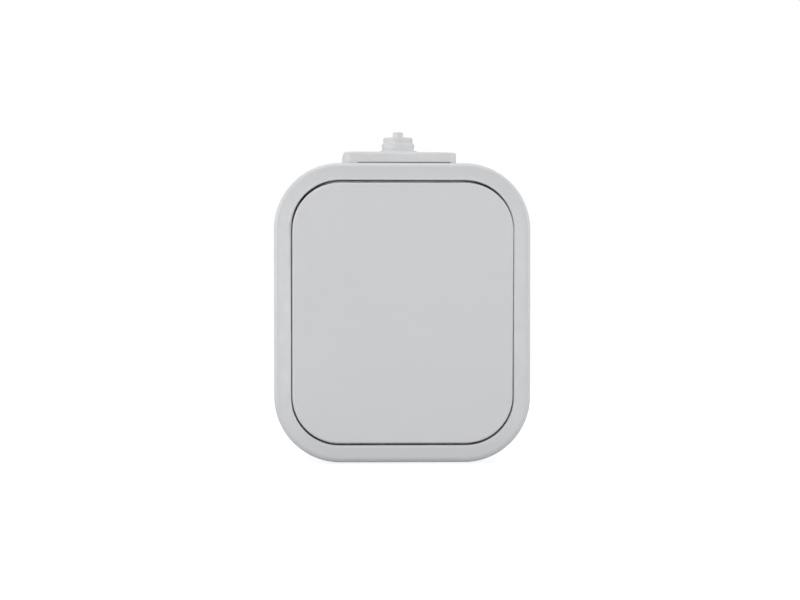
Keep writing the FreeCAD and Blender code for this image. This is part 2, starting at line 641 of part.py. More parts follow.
def make_rocker(doc):
    body = new_body(doc, "rocker")
    outline = new_sketch(body, "outline", FRONT_PLANE, f"-{SKIRT_DROP}")
    add_rounded(outline, ROCKER_WIDTH, ROCKER_HEIGHT, ROCKER_CORNER)
    pad(body, outline, f"{FACE_RISE} + {SKIRT_DROP}")
    face = -body.evalExpression(FACE_RISE)
    fillet(body, edges_in_slab(body, "Y", face), "Sizes.rocker_edge_round")

    hollow = new_sketch(body, "hollow", FRONT_PLANE, f"-{SKIRT_DROP}")
    add_rounded(
        hollow,
        f"({ROCKER_WIDTH} - 2 * Sizes.rocker_wall)",
        f"({ROCKER_HEIGHT} - 2 * Sizes.rocker_wall)",
        f"({ROCKER_CORNER} - Sizes.rocker_wall)",
    )
    pocket(body, hollow, f"{PLATE_BACK} + {SKIRT_DROP}", forward=True)

    rib_back = f"({PLATE_BACK} - Sizes.rocker_rib_height)"
    half_rib = "Sizes.rocker_rib / 2"
    long_rib = new_sketch(body, "long_rib", FRONT_PLANE, rib_back)
    half_length = f"({ROCKER_HEIGHT} / 2 - Sizes.rocker_wall)"
    add_rectangle(long_rib, f"-{half_rib}", half_rib, f"-{half_length}", half_length)
    pad(body, long_rib, "Sizes.rocker_rib_height")
    cross_rib = new_sketch(body, "cross_rib", FRONT_PLANE, rib_back)
    add_rectangle(cross_rib, f"-{EAR_OUTSIDE}", EAR_OUTSIDE, f"-{half_rib}", half_rib)
    pad(body, cross_rib, "Sizes.rocker_rib_height")

    post = new_sketch(body, "post", FRONT_PLANE, f"-{POST_END}")
    add_circle(post, "0", "0", "Sizes.post_radius")
    pad(body, post, f"{POST_END} + {PLATE_BACK}")
    bore = new_sketch(body, "bore", FRONT_PLANE, f"-{POST_END}")
    add_circle(bore, "0", "0", "(Sizes.plunger_radius + Sizes.plunger_clearance)")
    pocket(body, bore, "Sizes.plunger_bore_depth", forward=True)

    ears = new_sketch(body, "ears", FRONT_PLANE, "-Sizes.ear_drop")
    ear_inside = f"({EAR_OUTSIDE} - Sizes.ear_thickness)"
    wide = "Sizes.ear_half_width"
    add_rectangle(ears, ear_inside, EAR_OUTSIDE, f"-{wide}", wide)
    add_rectangle(ears, f"-{EAR_OUTSIDE}", f"-{ear_inside}", f"-{wide}", wide)
    pad(body, ears, f"Sizes.ear_drop + {PLATE_BACK}")
    pin_length = f"{LUG_OUTSIDE} - Sizes.pin_end_gap - {EAR_OUTSIDE}"
    right_pin = new_sketch(body, "right_pin", SIDE_PLANE, EAR_OUTSIDE)
    add_circle(right_pin, "0", "0", "Sizes.pin_radius")
    pad(body, right_pin, pin_length)
    left_pin = new_sketch(body, "left_pin", SIDE_PLANE, f"-{EAR_OUTSIDE}")
    add_circle(left_pin, "0", "0", "Sizes.pin_radius")
    pad(body, left_pin, pin_length, backward=True)
    hang_on_axis(body, PIVOT_DEPTH, "Sizes.rocker_tilt")
    return body


def make_plunger(doc):
    body = new_body(doc, "plunger")
    rod = new_sketch(body, "rod", FRONT_PLANE, f"-{TIP_REACH}")
    add_circle(rod, "0", "0", "Sizes.plunger_radius")
    pad(body, rod, "Sizes.plunger_length")
    tip = body.evalExpression(TIP_REACH)
    fillet(body, edges_in_slab(body, "Y", tip), "Sizes.plunger_tip_round")
    seat = new_sketch(body, "seat", FRONT_PLANE, f"-({TIP_REACH} - Sizes.plunger_length)")
    seat_radius = "(Sizes.spring_radius + Sizes.spring_wire_radius + Sizes.spring_seat_gap)"
    add_circle(seat, "0", "0", seat_radius)
    pocket(body, seat, "Sizes.spring_seat_depth")
    hang_on_axis(body, PIVOT_DEPTH, "Sizes.rocker_tilt")
    return body


def make_plunger_spring(doc):
    coil = doc.addObject("Part::Helix", "spring_path")
    coil.setExpression("Height", f"{SEAT_REACH} - {BORE_END} - 2 * {SPRING_MARGIN}")
    coil.setExpression("Pitch", f"({SEAT_REACH} - {BORE_END} - 2 * {SPRING_MARGIN}) / Sizes.spring_turns")
    coil.setExpression("Radius", "Sizes.spring_radius")
    wire = doc.addObject("Part::Circle", "spring_wire")
    wire.setExpression("Radius", "Sizes.spring_wire_radius")
    wire.Placement = FreeCAD.Placement(FreeCAD.Vector(), FreeCAD.Rotation(FreeCAD.Vector(1, 0, 0), 90))
    wire.setExpression("Placement.Base.x", "Sizes.spring_radius")
    doc.recompute()
    spring = doc.addObject("Part::Sweep", "plunger_spring")
    spring.Label = "plunger_spring"
    spring.Sections = [wire]
    spring.Spine = (coil, [f"Edge{number + 1}" for number in range(len(coil.Shape.Edges))])
    spring.Solid = True
    spring.Frenet = True
    foot = f"({SEAT_REACH} - {SPRING_MARGIN})"
    hang_on_axis(spring, f"({PIVOT_DEPTH} - {foot} * cos(Sizes.rocker_tilt))", "90 + Sizes.rocker_tilt")
    spring.setExpression("Placement.Base.z", f"{foot} * sin(Sizes.rocker_tilt)")
    doc.recompute()
    return spring


def make_post_boot(doc):
    body = new_body(doc, "post_boot")
    flange = new_sketch(body, "flange", FRONT_PLANE, f"{TRAY_BACK} - Sizes.boot_flange")
    add_circle(flange, "0", "0", "(Sizes.boot_radius + Sizes.boot_lap)")
    pad(body, flange, "Sizes.boot_flange")
    neck = new_sketch(body, "neck", FRONT_PLANE, TRAY_BACK)
    add_circle(neck, "0", "0", "(Sizes.boot_radius - Sizes.boot_fit)")
    pad(body, neck, "Sizes.tray_floor + Sizes.collar_height")
    bead = new_sketch(body, "bead", FRONT_PLANE, f"{TRAY_FRONT} + Sizes.collar_height")
    add_circle(bead, "0", "0", "(Sizes.boot_radius + Sizes.collar_wall)")
    pad(body, bead, "Sizes.boot_bead")
    boot_front = f"({TRAY_FRONT} + Sizes.collar_height + Sizes.boot_bead)"
    boot_depth = f"(Sizes.boot_flange + Sizes.tray_floor + Sizes.collar_height + Sizes.boot_bead)"
    fold = new_sketch(body, "fold", FRONT_PLANE, boot_front)
    add_circle(fold, "0", "0", "(Sizes.post_radius + Sizes.boot_sleeve)")
    add_circle(fold, "0", "0", "(Sizes.post_radius + Sizes.boot_sleeve + Sizes.boot_fold)")
    pocket(body, fold, f"{boot_depth} - Sizes.boot_web")
    hole = new_sketch(body, "hole", FRONT_PLANE, boot_front)
    post_rise = f"(({PIVOT_DEPTH} - {boot_front} + {boot_depth} / 2) * tan(Sizes.rocker_tilt))"
    add_circle(hole, "0", post_rise, "(Sizes.post_radius + Sizes.boot_clearance)")
    pocket(body, hole, boot_depth)
    return body


def make_frame_gasket(doc):
    body = new_body(doc, "frame_gasket")
    ring = new_sketch(body, "ring", FRONT_PLANE, "Sizes.box_depth")
    add_rounded(ring, LIP_WIDTH, LIP_HEIGHT, LIP_CORNER)
    add_rounded(
        ring,
        f"({LIP_WIDTH} - 2 * Sizes.gasket_width)",
        f"({LIP_HEIGHT} - 2 * Sizes.gasket_width)",
        f"({LIP_CORNER} - Sizes.gasket_width)",
    )
    pad(body, ring, "Sizes.gasket_height")
    return body


def make_cable_gland(doc):
    body = new_body(doc, "cable_gland")
    plate = new_sketch(body, "plate", TOP_PLANE, GLAND_SEAT)
    add_rounded(
        plate,
        "Sizes.gland_width",
        "Sizes.gland_length",
        "Sizes.gland_corner",
        middle=f"-{GLAND_AXIS}",
    )
    pad(body, plate, "Sizes.gland_plate_height", taper="-Sizes.gland_plate_draft")
    top = body.evalExpression(GLAND_TOP)
    fillet(body, edges_in_slab(body, "Z", top), "Sizes.gland_plate_round")

    nipple = new_sketch(body, "nipple", FRONT_PLANE, GLAND_AXIS)
    crown_top = f"({GLAND_TOP} + Sizes.crown_rise)"
    flare_top = f"({crown_top} + Sizes.flare_height)"
    flare_mid = "(Sizes.waist_radius + (Sizes.flare_radius - Sizes.waist_radius) / 3)"
    ring_one_top = f"({flare_top} + Sizes.ring_one_height)"
    ring_two_low = f"({ring_one_top} + Sizes.ring_shoulder)"
    ring_two_top = f"({ring_two_low} + Sizes.ring_two_height)"
    tip_low = f"({ring_two_top} + Sizes.ring_shoulder / 2)"
    tip_top = f"({tip_low} + Sizes.nipple_tip_height)"
    plate_inside = f"({GLAND_TOP} - Sizes.gland_plate_round)"
    add_polygon(
        nipple,
        [
            ("0", plate_inside),
            ("Sizes.crown_radius", plate_inside),
            ("Sizes.crown_radius", GLAND_TOP),
            ("Sizes.flare_radius", crown_top),
            (flare_mid, f"{crown_top} + Sizes.flare_height / 2"),
            ("Sizes.waist_radius", flare_top),
            ("Sizes.ring_one_radius", ring_one_top),
            ("Sizes.ring_two_radius", ring_two_low),
            ("Sizes.ring_two_radius", ring_two_top),
            ("Sizes.nipple_tip_radius", tip_low),
            ("Sizes.nipple_tip_radius", tip_top),
            ("0", tip_top),
        ],
    )
    turned = body.newObject("PartDesign::Revolution", "cable_gland_turned")
    turned.Profile = nipple
    turned.ReferenceAxis = (nipple, ["V_Axis"])
    turned.Angle = 360
    doc.recompute()
    rounded = []
    for level in (ring_one_top, ring_two_top, tip_top):
        rounded += edges_in_slab(body, "Z", body.evalExpression(level))
    fillet(body, rounded, "Sizes.nipple_round")

    half_neck = "(Sizes.gland_slot_width / 2 - Sizes.gland_clearance)"
    neck = new_sketch(body, "neck", TOP_PLANE, GLAND_INSIDE)
    neck_back = f"({SLOT_BACK} + Sizes.gland_clearance)"
    add_rectangle(neck, f"-{half_neck}", half_neck, f"-{SHOULDER_DEPTH}", f"-{neck_back}")
    pad(body, neck, f"{GLAND_SEAT} - {GLAND_INSIDE}")
    tongue = new_sketch(body, "tongue", TOP_PLANE, f"{BOX_HEIGHT} / 2 - Sizes.box_wall")
    add_rectangle(tongue, f"-{half_neck}", half_neck, "-Sizes.box_depth", f"-{neck_back}")
    pad(body, tongue, "Sizes.box_wall - Sizes.lip_setback")
    flange = new_sketch(body, "flange", TOP_PLANE, f"{GLAND_INSIDE} - Sizes.gland_flange")
    half_flange = "(Sizes.gland_width / 2)"
    add_rectangle(flange, f"-{half_flange}", half_flange, f"-{GLAND_FRONT}", f"-{GLAND_BACK}")
    pad(body, flange, "Sizes.gland_flange")
    undercut = new_sketch(body, "undercut", FRONT_PLANE, GLAND_FRONT)
    undercut_top = f"({GLAND_SEAT} + Sizes.undercut_rise)"
    add_rectangle(undercut, "-Sizes.undercut_left", "Sizes.undercut_right", GLAND_SEAT, undercut_top)
    pocket(body, undercut, "Sizes.undercut_depth")
    hollow = new_sketch(body, "hollow", TOP_PLANE, f"{GLAND_INSIDE} - Sizes.gland_flange")
    add_circle(hollow, "0", f"-{GLAND_AXIS}", "(Sizes.ring_two_radius - Sizes.nipple_wall)")
    hollow_top = f"({ring_two_top} - Sizes.nipple_wall)"
    pocket(body, hollow, f"{hollow_top} - {GLAND_INSIDE} + Sizes.gland_flange", forward=True)
    return body


def make_screws(doc, name, draw, seat, reach, radius, height):
    body = new_body(doc, name)
    shank = new_sketch(body, "shank", FRONT_PLANE, f"{seat} - {reach}")
    draw(shank, "Sizes.screw_radius")
    pad(body, shank, reach)
    head = new_sketch(body, "head", FRONT_PLANE, seat)
    draw(head, radius)
    pad(body, head, height)
    front = -body.evalExpression(f"{seat} + {height}")
    bevel(body, edges_in_slab(body, "Y", front), "Sizes.head_bevel")
    return body


def draw_frame_screws(sketch, radius):
    pair_of_circles(sketch, f"-{PILLAR_SIDE}", PILLAR_RISE, radius)


def draw_base_screws(sketch, radius):
    level_pair(sketch, BASE_SCREW_SIDE, f"-{BASE_SCREW_DROP}", radius)


def draw_terminal_screws(sketch, radius):
    level_pair(sketch, "Sizes.terminal_side", TERMINAL_RISE, radius)


def make_frame_screw_seals(doc):
    body = new_body(doc, "frame_screw_seals")
    ring = new_sketch(body, "ring", FRONT_PLANE, f"{TRAY_FRONT} - Sizes.screw_seal_sink")
    draw_frame_screws(ring, "(Sizes.screw_seal_radius - Sizes.seal_clearance)")
    draw_frame_screws(ring, "(Sizes.screw_radius + Sizes.seal_clearance)")
    pad(body, ring, "Sizes.screw_seal_height")
    return body


def make_fixing_seals(doc):
    body = new_body(doc, "fixing_seals")
    seat = "(Sizes.box_floor + Sizes.fixing_boss_height - Sizes.fixing_seal_sink)"
    front = f"{seat} + Sizes.fixing_seal_height"
    plug = new_sketch(body, "plug", FRONT_PLANE, seat)
    pair_of_circles(plug, FIXING_SIDE, FIXING_RISE, "(Sizes.fixing_seal_radius - Sizes.seal_clearance)")
    pad(body, plug, "Sizes.fixing_seal_height")
    dimple = new_sketch(body, "dimple", FRONT_PLANE, front)
    pair_of_circles(dimple, FIXING_SIDE, FIXING_RISE, "Sizes.fixing_dimple_radius")
    pocket(body, dimple, "Sizes.fixing_seal_height - Sizes.fixing_skin")
    return body


def make_switch_base(doc):
    body = new_body(doc, "switch_base")
    outline = new_sketch(body, "outline", FRONT_PLANE, BASE_BACK)
    add_rounded(outline, "Sizes.base_width", "Sizes.base_length", "Sizes.base_corner")
    pad(body, outline, "Sizes.base_height")

    depth = "Sizes.base_height - Sizes.base_floor"
    half = "Sizes.chamber_half_width"
    length = "Sizes.chamber_half_length"
    chamber = new_sketch(body, "chamber", FRONT_PLANE, BASE_FRONT)
    add_rectangle(chamber, f"-{half}", half, f"-{length}", length)
    pocket(body, chamber, depth)
    near = "(Sizes.terminal_side - Sizes.clamp_width / 2 - Sizes.clamp_gap)"
    far = "(Sizes.terminal_side + Sizes.clamp_width / 2 + Sizes.clamp_gap)"
    high = f"({TERMINAL_RISE} + Sizes.clamp_length / 2 + Sizes.clamp_gap)"
    nests = new_sketch(body, "nests", FRONT_PLANE, BASE_FRONT)
    add_rectangle(nests, near, far, CROSS_LOW, high)
    add_rectangle(nests, f"-{far}", f"-{near}", CROSS_LOW, high)
    pocket(body, nests, depth)
    left_way = new_sketch(body, "left_way", FRONT_PLANE, BASE_FRONT)
    add_rectangle(left_way, f"-{near}", f"-{half}", CROSS_LOW, f"{CROSS_HIGH} + Sizes.chamber_gap")
    pocket(body, left_way, depth)
    right_way = new_sketch(body, "right_way", FRONT_PLANE, BASE_FRONT)
    way_half = "(Sizes.strip_width / 2 + Sizes.chamber_gap)"
    way_right = f"(Sizes.terminal_side + {way_half})"
    way_left = f"(Sizes.terminal_side - {way_half})"
    way_high = f"(-{length} + Sizes.strip_width + 2 * Sizes.chamber_gap)"
    add_polygon(
        right_way,
        [
            (half, f"-{length}"),
            (way_right, f"-{length}"),
            (way_right, CROSS_LOW),
            (way_left, CROSS_LOW),
            (way_left, way_high),
            (half, way_high),
        ],
    )
    pocket(body, right_way, depth)

    stop = new_sketch(body, "stop", FRONT_PLANE, CHAMBER_FLOOR)
    add_rectangle(stop, f"-{half}", half, STOP_LOW, length)
    pad(body, stop, f"{STOP_FACE} - {CHAMBER_FLOOR}")

    wires = new_sketch(body, "wire_holes", TOP_PLANE, "Sizes.base_length / 2")
    level_pair(wires, "Sizes.terminal_side", f"-{WIRE_DEPTH}", "Sizes.wire_hole_radius")
    pocket(body, wires, f"Sizes.base_length / 2 - {high}")
    wells = new_sketch(body, "screw_wells", FRONT_PLANE, BASE_FRONT)
    draw_base_screws(wells, "(Sizes.head_radius + Sizes.head_clearance)")
    pocket(body, wells, "Sizes.base_height - Sizes.base_screw_seat")
    holes = new_sketch(body, "screw_holes", FRONT_PLANE, BASE_FRONT)
    draw_base_screws(holes, "Sizes.screw_hole_radius")
    pocket(body, holes, "Sizes.base_height")
    return body


def make_switch_cover(doc):
    body = new_body(doc, "switch_cover")
    outline = new_sketch(body, "outline", FRONT_PLANE, BASE_FRONT)
    add_rounded(outline, "Sizes.base_width", "Sizes.base_length", "Sizes.base_corner")
    pad(body, outline, "Sizes.cover_thickness")
    front = f"{BASE_FRONT} + Sizes.cover_thickness"
    window = new_sketch(body, "window", FRONT_PLANE, front)
    half = "Sizes.cover_window_width / 2"
    length = "Sizes.cover_window_length / 2"
    add_rectangle(window, f"-{half}", half, f"-{length}", length)
    pocket(body, window, "Sizes.cover_thickness")
    holes = new_sketch(body, "holes", FRONT_PLANE, front)
    draw_base_screws(holes, "(Sizes.head_radius + Sizes.head_clearance)")
    draw_terminal_screws(holes, "(Sizes.terminal_head_radius + Sizes.head_clearance)")
    pocket(body, holes, "Sizes.cover_thickness")
    return body


def make_common_terminal(doc):
    body = new_body(doc, "common_terminal")
    strip = new_sketch(body, "strip", FRONT_PLANE, CHAMBER_FLOOR)
    low = f"({CROSS_LOW} + Sizes.chamber_gap)"
    high = f"({TERMINAL_RISE} + Sizes.clamp_length / 2)"
    far = "(Sizes.terminal_side + Sizes.clamp_width / 2)"
    near = "(Sizes.terminal_side - Sizes.clamp_width / 2)"
    half = "(Sizes.seesaw_width / 2 - Sizes.chamber_gap)"
    add_polygon(
        strip,
        [
            (f"-{far}", high),
            (f"-{far}", low),
            (f"-{half}", low),
            (f"-{half}", "-Sizes.nose_radius"),
            (half, "-Sizes.nose_radius"),
            (half, CROSS_HIGH),
            (f"-{near}", CROSS_HIGH),
            (f"-{near}", high),
        ],
    )
    pad(body, strip, "Sizes.strip_thickness")
    web = new_sketch(body, "web", FRONT_PLANE, CHAMBER_FLOOR)
    add_rectangle(web, f"-{half}", half, "-Sizes.nose_radius", "Sizes.nose_radius")
    pad(body, web, f"{SEESAW_DEPTH} - {CHAMBER_FLOOR}")
    nose = new_sketch(body, "nose", SIDE_PLANE, f"-{half}")
    add_circle(nose, f"-{SEESAW_DEPTH}", "0", "Sizes.nose_radius")
    pad(body, nose, f"2 * {half}")
    return body


def make_switched_terminal(doc):
    body = new_body(doc, "switched_terminal")
    strip = new_sketch(body, "strip", FRONT_PLANE, CHAMBER_FLOOR)
    near = "(Sizes.terminal_side - Sizes.clamp_width / 2)"
    far = "(Sizes.terminal_side + Sizes.clamp_width / 2)"
    way_right = "(Sizes.terminal_side + Sizes.strip_width / 2)"
    way_left = "(Sizes.terminal_side - Sizes.strip_width / 2)"
    half = "(Sizes.seesaw_width / 2 - Sizes.chamber_gap)"
    high = f"({TERMINAL_RISE} + Sizes.clamp_length / 2)"
    shelf = f"({TERMINAL_RISE} - Sizes.clamp_length / 2)"
    foot = "(-Sizes.chamber_half_length + Sizes.chamber_gap)"
    add_polygon(
        strip,
        [
            (near, high),
            (near, shelf),
            (way_left, shelf),
            (way_left, f"{foot} + Sizes.strip_width"),
            (f"-{half}", f"{foot} + Sizes.strip_width"),
            (f"-{half}", foot),
            (way_right, foot),
            (way_right, shelf),
            (far, shelf),
            (far, high),
        ],
    )
    pad(body, strip, "Sizes.strip_thickness")
    bracket = new_sketch(body, "bracket", SIDE_PLANE, f"-{half}")
    bracket_front = f"({FIXED_FACE} - Sizes.fixed_contact_height)"
    inner = f"({foot} + Sizes.strip_thickness)"
    reach = "(-Sizes.contact_reach + Sizes.contact_radius + Sizes.chamber_gap)"
    add_polygon(
        bracket,
        [
            (f"-{CHAMBER_FLOOR}", foot),
            (f"-{bracket_front}", foot),
            (f"-{bracket_front}", reach),
            (f"-{bracket_front} + Sizes.strip_thickness", reach),
            (f"-{bracket_front} + Sizes.strip_thickness", inner),
            (f"-{CHAMBER_FLOOR}", inner),
        ],
    )
    pad(body, bracket, f"2 * {half}")
    return body


def make_fixed_contact(doc):
    body = new_body(doc, "fixed_contact")
    button = new_sketch(body, "button", FRONT_PLANE, f"{FIXED_FACE} - Sizes.fixed_contact_height")
    add_circle(button, "0", "-Sizes.contact_reach", "Sizes.contact_radius")
    pad(body, button, "Sizes.fixed_contact_height")
    bevel(body, edges_in_slab(body, "Y", -body.evalExpression(FIXED_FACE)), "Sizes.contact_bevel")
    return body


def make_contact_seesaw(doc):
    body = new_body(doc, "contact_seesaw")
    blade = new_sketch(body, "blade", SIDE_PLANE, "-Sizes.seesaw_width / 2")
    arm = "Sizes.seesaw_arm"
    saddle = "Sizes.saddle_half_length"
    front = f"-({STRIP_BACK_RISE} + Sizes.seesaw_thickness)"
    back = f"-{STRIP_BACK_RISE}"
    foot = "-Sizes.saddle_drop"
    add_polygon(
        blade,
        [
            (front, f"-{arm}"),
            (front, arm),
            (back, arm),
            (back, saddle),
            (foot, saddle),
            (foot, f"-{saddle}"),
            (back, f"-{saddle}"),
            (back, f"-{arm}"),
        ],
    )
    pad(body, blade, "Sizes.seesaw_width")
    seat = new_sketch(body, "seat", SIDE_PLANE, "Sizes.seesaw_width / 2")
    add_circle(seat, "0", "0", "(Sizes.nose_radius + Sizes.nose_clearance)")
    pocket(body, seat, "Sizes.seesaw_width")
    hang_on_axis(body, SEESAW_DEPTH, f"-{SEESAW_TILT}")
    return body


def make_moving_contact(doc):
    body = new_body(doc, "moving_contact")
    button = new_sketch(body, "button", FRONT_PLANE, CONTACT_FACE_RISE)
    add_circle(button, "0", "-Sizes.contact_reach", "Sizes.contact_radius")
    pad(body, button, "Sizes.moving_contact_height")
    face = -body.evalExpression(CONTACT_FACE_RISE)
    bevel(body, edges_in_slab(body, "Y", face), "Sizes.contact_bevel")
    hang_on_axis(body, SEESAW_DEPTH, f"-{SEESAW_TILT}")
    return body


def make_terminal_clamps(doc):
    body = new_body(doc, "terminal_clamps")
    cages = new_sketch(body, "cages", FRONT_PLANE, STRIP_FRONT)
    near = "(Sizes.terminal_side - Sizes.clamp_width / 2)"
    far = "(Sizes.terminal_side + Sizes.clamp_width / 2)"
    low = f"({TERMINAL_RISE} - Sizes.clamp_length / 2)"
    high = f"({TERMINAL_RISE} + Sizes.clamp_length / 2)"
    add_rectangle(cages, near, far, low, high)
    add_rectangle(cages, f"-{far}", f"-{near}", low, high)
    pad(body, cages, "Sizes.clamp_height")
    wires = new_sketch(body, "wire_holes", TOP_PLANE, high)
    level_pair(wires, "Sizes.terminal_side", f"-{WIRE_DEPTH}", "Sizes.wire_hole_radius")
    pocket(body, wires, "Sizes.clamp_length")
    threads = new_sketch(body, "screw_holes", FRONT_PLANE, CLAMP_FRONT)
    draw_terminal_screws(threads, PILOT_RADIUS)
    pocket(body, threads, f"{CLAMP_FRONT} - {WIRE_DEPTH}")
    return body


def check_document(doc):
    for item in doc.Objects:
        if "Invalid" in item.State or "Error" in item.State:
            raise RuntimeError(f"{item.Name} did not compute")


def write_part(item):
    shape = item.Shape
    if shape.isNull() or not shape.isValid() or not shape.Solids:
        raise RuntimeError(f"{item.Label} has no valid solid")
    shape.exportStep(f"parts/{item.Label}.step")


def main():
    doc = FreeCAD.newDocument("outdoor_switch")
    fill_sheet(doc)
    terminal_seat = f"({CLAMP_FRONT} + Sizes.screw_clearance)"
    parts = [
        make_rear_box(doc),
        make_front_frame(doc),
        make_frame_gasket(doc),
        make_cable_gland(doc),
        make_fixing_seals(doc),
        make_frame_screw_seals(doc),
        make_screws(
            doc,
            "frame_screws",
            draw_frame_screws,
            FRAME_HEAD_SEAT,
            f"({FRAME_HEAD_SEAT} - {TRAY_BACK} + Sizes.frame_screw_reach)",
            "Sizes.head_radius",
            "Sizes.head_height",
        ),
        make_switch_base(doc),
        make_switch_cover(doc),
        make_screws(
            doc,
            "switch_screws",
            draw_base_screws,
            f"({BASE_BACK} + Sizes.base_screw_seat)",
            "(Sizes.base_screw_seat + Sizes.base_standoff)",
            "Sizes.head_radius",
            "Sizes.head_height",
        ),
        make_common_terminal(doc),
        make_switched_terminal(doc),
        make_fixed_contact(doc),
        make_terminal_clamps(doc),
        make_screws(
            doc,
            "terminal_screws",
            draw_terminal_screws,
            terminal_seat,
            f"({terminal_seat} - {WIRE_DEPTH} - Sizes.wire_hole_radius)",
            "Sizes.terminal_head_radius",
            "Sizes.terminal_head_height",
        ),
        make_contact_seesaw(doc),
        make_moving_contact(doc),
        make_rocker(doc),
        make_plunger(doc),
        make_plunger_spring(doc),
        make_post_boot(doc),
    ]
    doc.recompute()
    check_document(doc)
    os.makedirs("parts", exist_ok=True)
    for item in parts:
        write_part(item)


main()
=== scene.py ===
import json
import math

import bmesh
import bpy
from mathutils import Matrix, Vector, noise


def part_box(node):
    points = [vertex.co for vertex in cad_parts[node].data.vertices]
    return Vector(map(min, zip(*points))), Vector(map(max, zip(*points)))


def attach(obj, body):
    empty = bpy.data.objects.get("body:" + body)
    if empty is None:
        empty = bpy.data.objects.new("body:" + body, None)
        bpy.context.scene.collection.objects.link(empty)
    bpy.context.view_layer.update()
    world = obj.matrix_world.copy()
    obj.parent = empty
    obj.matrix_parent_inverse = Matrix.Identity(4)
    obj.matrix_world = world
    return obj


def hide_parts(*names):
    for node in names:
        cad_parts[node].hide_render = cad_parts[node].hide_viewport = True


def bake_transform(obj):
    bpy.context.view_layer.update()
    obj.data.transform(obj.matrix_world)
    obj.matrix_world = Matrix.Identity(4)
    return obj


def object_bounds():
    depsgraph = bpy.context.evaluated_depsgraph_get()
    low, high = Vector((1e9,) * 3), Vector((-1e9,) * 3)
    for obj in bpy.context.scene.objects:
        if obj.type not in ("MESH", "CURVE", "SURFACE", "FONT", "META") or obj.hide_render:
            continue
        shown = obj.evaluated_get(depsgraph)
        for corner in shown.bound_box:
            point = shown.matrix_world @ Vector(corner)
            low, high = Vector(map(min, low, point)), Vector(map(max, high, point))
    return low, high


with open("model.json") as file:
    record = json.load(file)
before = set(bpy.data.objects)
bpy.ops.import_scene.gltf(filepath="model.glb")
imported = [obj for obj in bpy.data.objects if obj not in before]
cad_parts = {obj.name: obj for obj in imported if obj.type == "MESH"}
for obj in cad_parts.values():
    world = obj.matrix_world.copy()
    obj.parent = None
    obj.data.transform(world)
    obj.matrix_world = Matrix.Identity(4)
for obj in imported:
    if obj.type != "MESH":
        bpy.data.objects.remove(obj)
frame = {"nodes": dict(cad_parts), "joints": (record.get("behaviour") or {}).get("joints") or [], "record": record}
cad_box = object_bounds()
nodes = frame["nodes"]
joints = {joint["name"]: joint for joint in frame["joints"]}
mounts = {mount["name"]: mount for mount in frame["record"]["mounts"]}
MM = 0.001


# Materials
MIX_FACTOR, MIX_FIRST, MIX_SECOND, MIX_RESULT = 0, 6, 7, 2


class Shader:
    """A principled material with small helpers for its procedural nodes."""

    def __init__(self, name, metallic=0.0):
        self.material = bpy.data.materials.new(name)
        self.material.use_nodes = True
        self.tree = self.material.node_tree
        self.surface = self.tree.nodes["Principled BSDF"]
        self.surface.inputs["Metallic"].default_value = metallic
        self.place = self.node("ShaderNodeTexCoord").outputs["Object"]

    def node(self, kind, **settings):
        made = self.tree.nodes.new(kind)
        for key, value in settings.items():
            setattr(made, key, value)
        return made

    def link(self, source, target):
        self.tree.links.new(source, target)

    def noise(self, size, detail=3.0, roughness=0.5, stretch=None):
        """Noise with features of about this size, in metres."""
        made = self.node("ShaderNodeTexNoise")
        made.inputs["Scale"].default_value = 1.0 / size
        made.inputs["Detail"].default_value = detail
        made.inputs["Roughness"].default_value = roughness
        place = self.place
        if stretch:
            mapping = self.node("ShaderNodeMapping")
            mapping.inputs["Scale"].default_value = stretch
            self.link(place, mapping.inputs["Vector"])
            place = mapping.outputs["Vector"]
        self.link(place, made.inputs["Vector"])
        return made.outputs["Fac"]

    def spread(self, value, low, high, start=0.3, end=0.7):
        """The value's range from start to end, drawn out from low to high."""
        made = self.node("ShaderNodeMapRange")
        made.inputs["From Min"].default_value = start
        made.inputs["From Max"].default_value = end
        made.inputs["To Min"].default_value = low
        made.inputs["To Max"].default_value = high
        self.link(value, made.inputs["Value"])
        return made.outputs["Result"]

    def maths(self, operation, first, second):
        made = self.node("ShaderNodeMath", operation=operation)
        for socket, value in zip(made.inputs, (first, second)):
            if isinstance(value, float):
                socket.default_value = value
            else:
                self.link(value, socket)
        return made.outputs[0]

    def between(self, factor, first, second):
        """A mix of two colours, each a tuple or another node's output."""
        made = self.node("ShaderNodeMix", data_type="RGBA")
        for socket, value in ((made.inputs[MIX_FIRST], first), (made.inputs[MIX_SECOND], second)):
            if isinstance(value, tuple):
                socket.default_value = (*value, 1.0)
            else:
                self.link(value, socket)
        self.link(factor, made.inputs[MIX_FACTOR])
        return made.outputs[MIX_RESULT]

    def set_colour(self, source):
        self.link(source, self.surface.inputs["Base Color"])

    def set_roughness(self, source):
        self.link(source, self.surface.inputs["Roughness"])

    def set_bump(self, height, depth):
        made = self.node("ShaderNodeBump")
        made.inputs["Distance"].default_value = depth
        self.link(height, made.inputs["Height"])
        self.link(made.outputs["Normal"], self.surface.inputs["Normal"])


def shade(colour, factor):
    return tuple(min(1.0, c * factor) for c in colour)


DRIFT_SIZE = 30.0 * MM
DRIFT_DARK, DRIFT_LIGHT = 0.982, 1.018
SPECK_SIZE = 0.55 * MM
SPECK_START, SPECK_END = 0.66, 0.80
SPECK_SHARE, SPECK_SHADE = 0.35, 0.93
SHEEN_SIZE = 2.4 * MM
GRAIN_SIZE = 0.32 * MM
FLOW_SIZE = 12.0 * MM
FLOW_STRETCH = (1.0, 1.0, 0.35)
FLOW_SHARE = 1.6


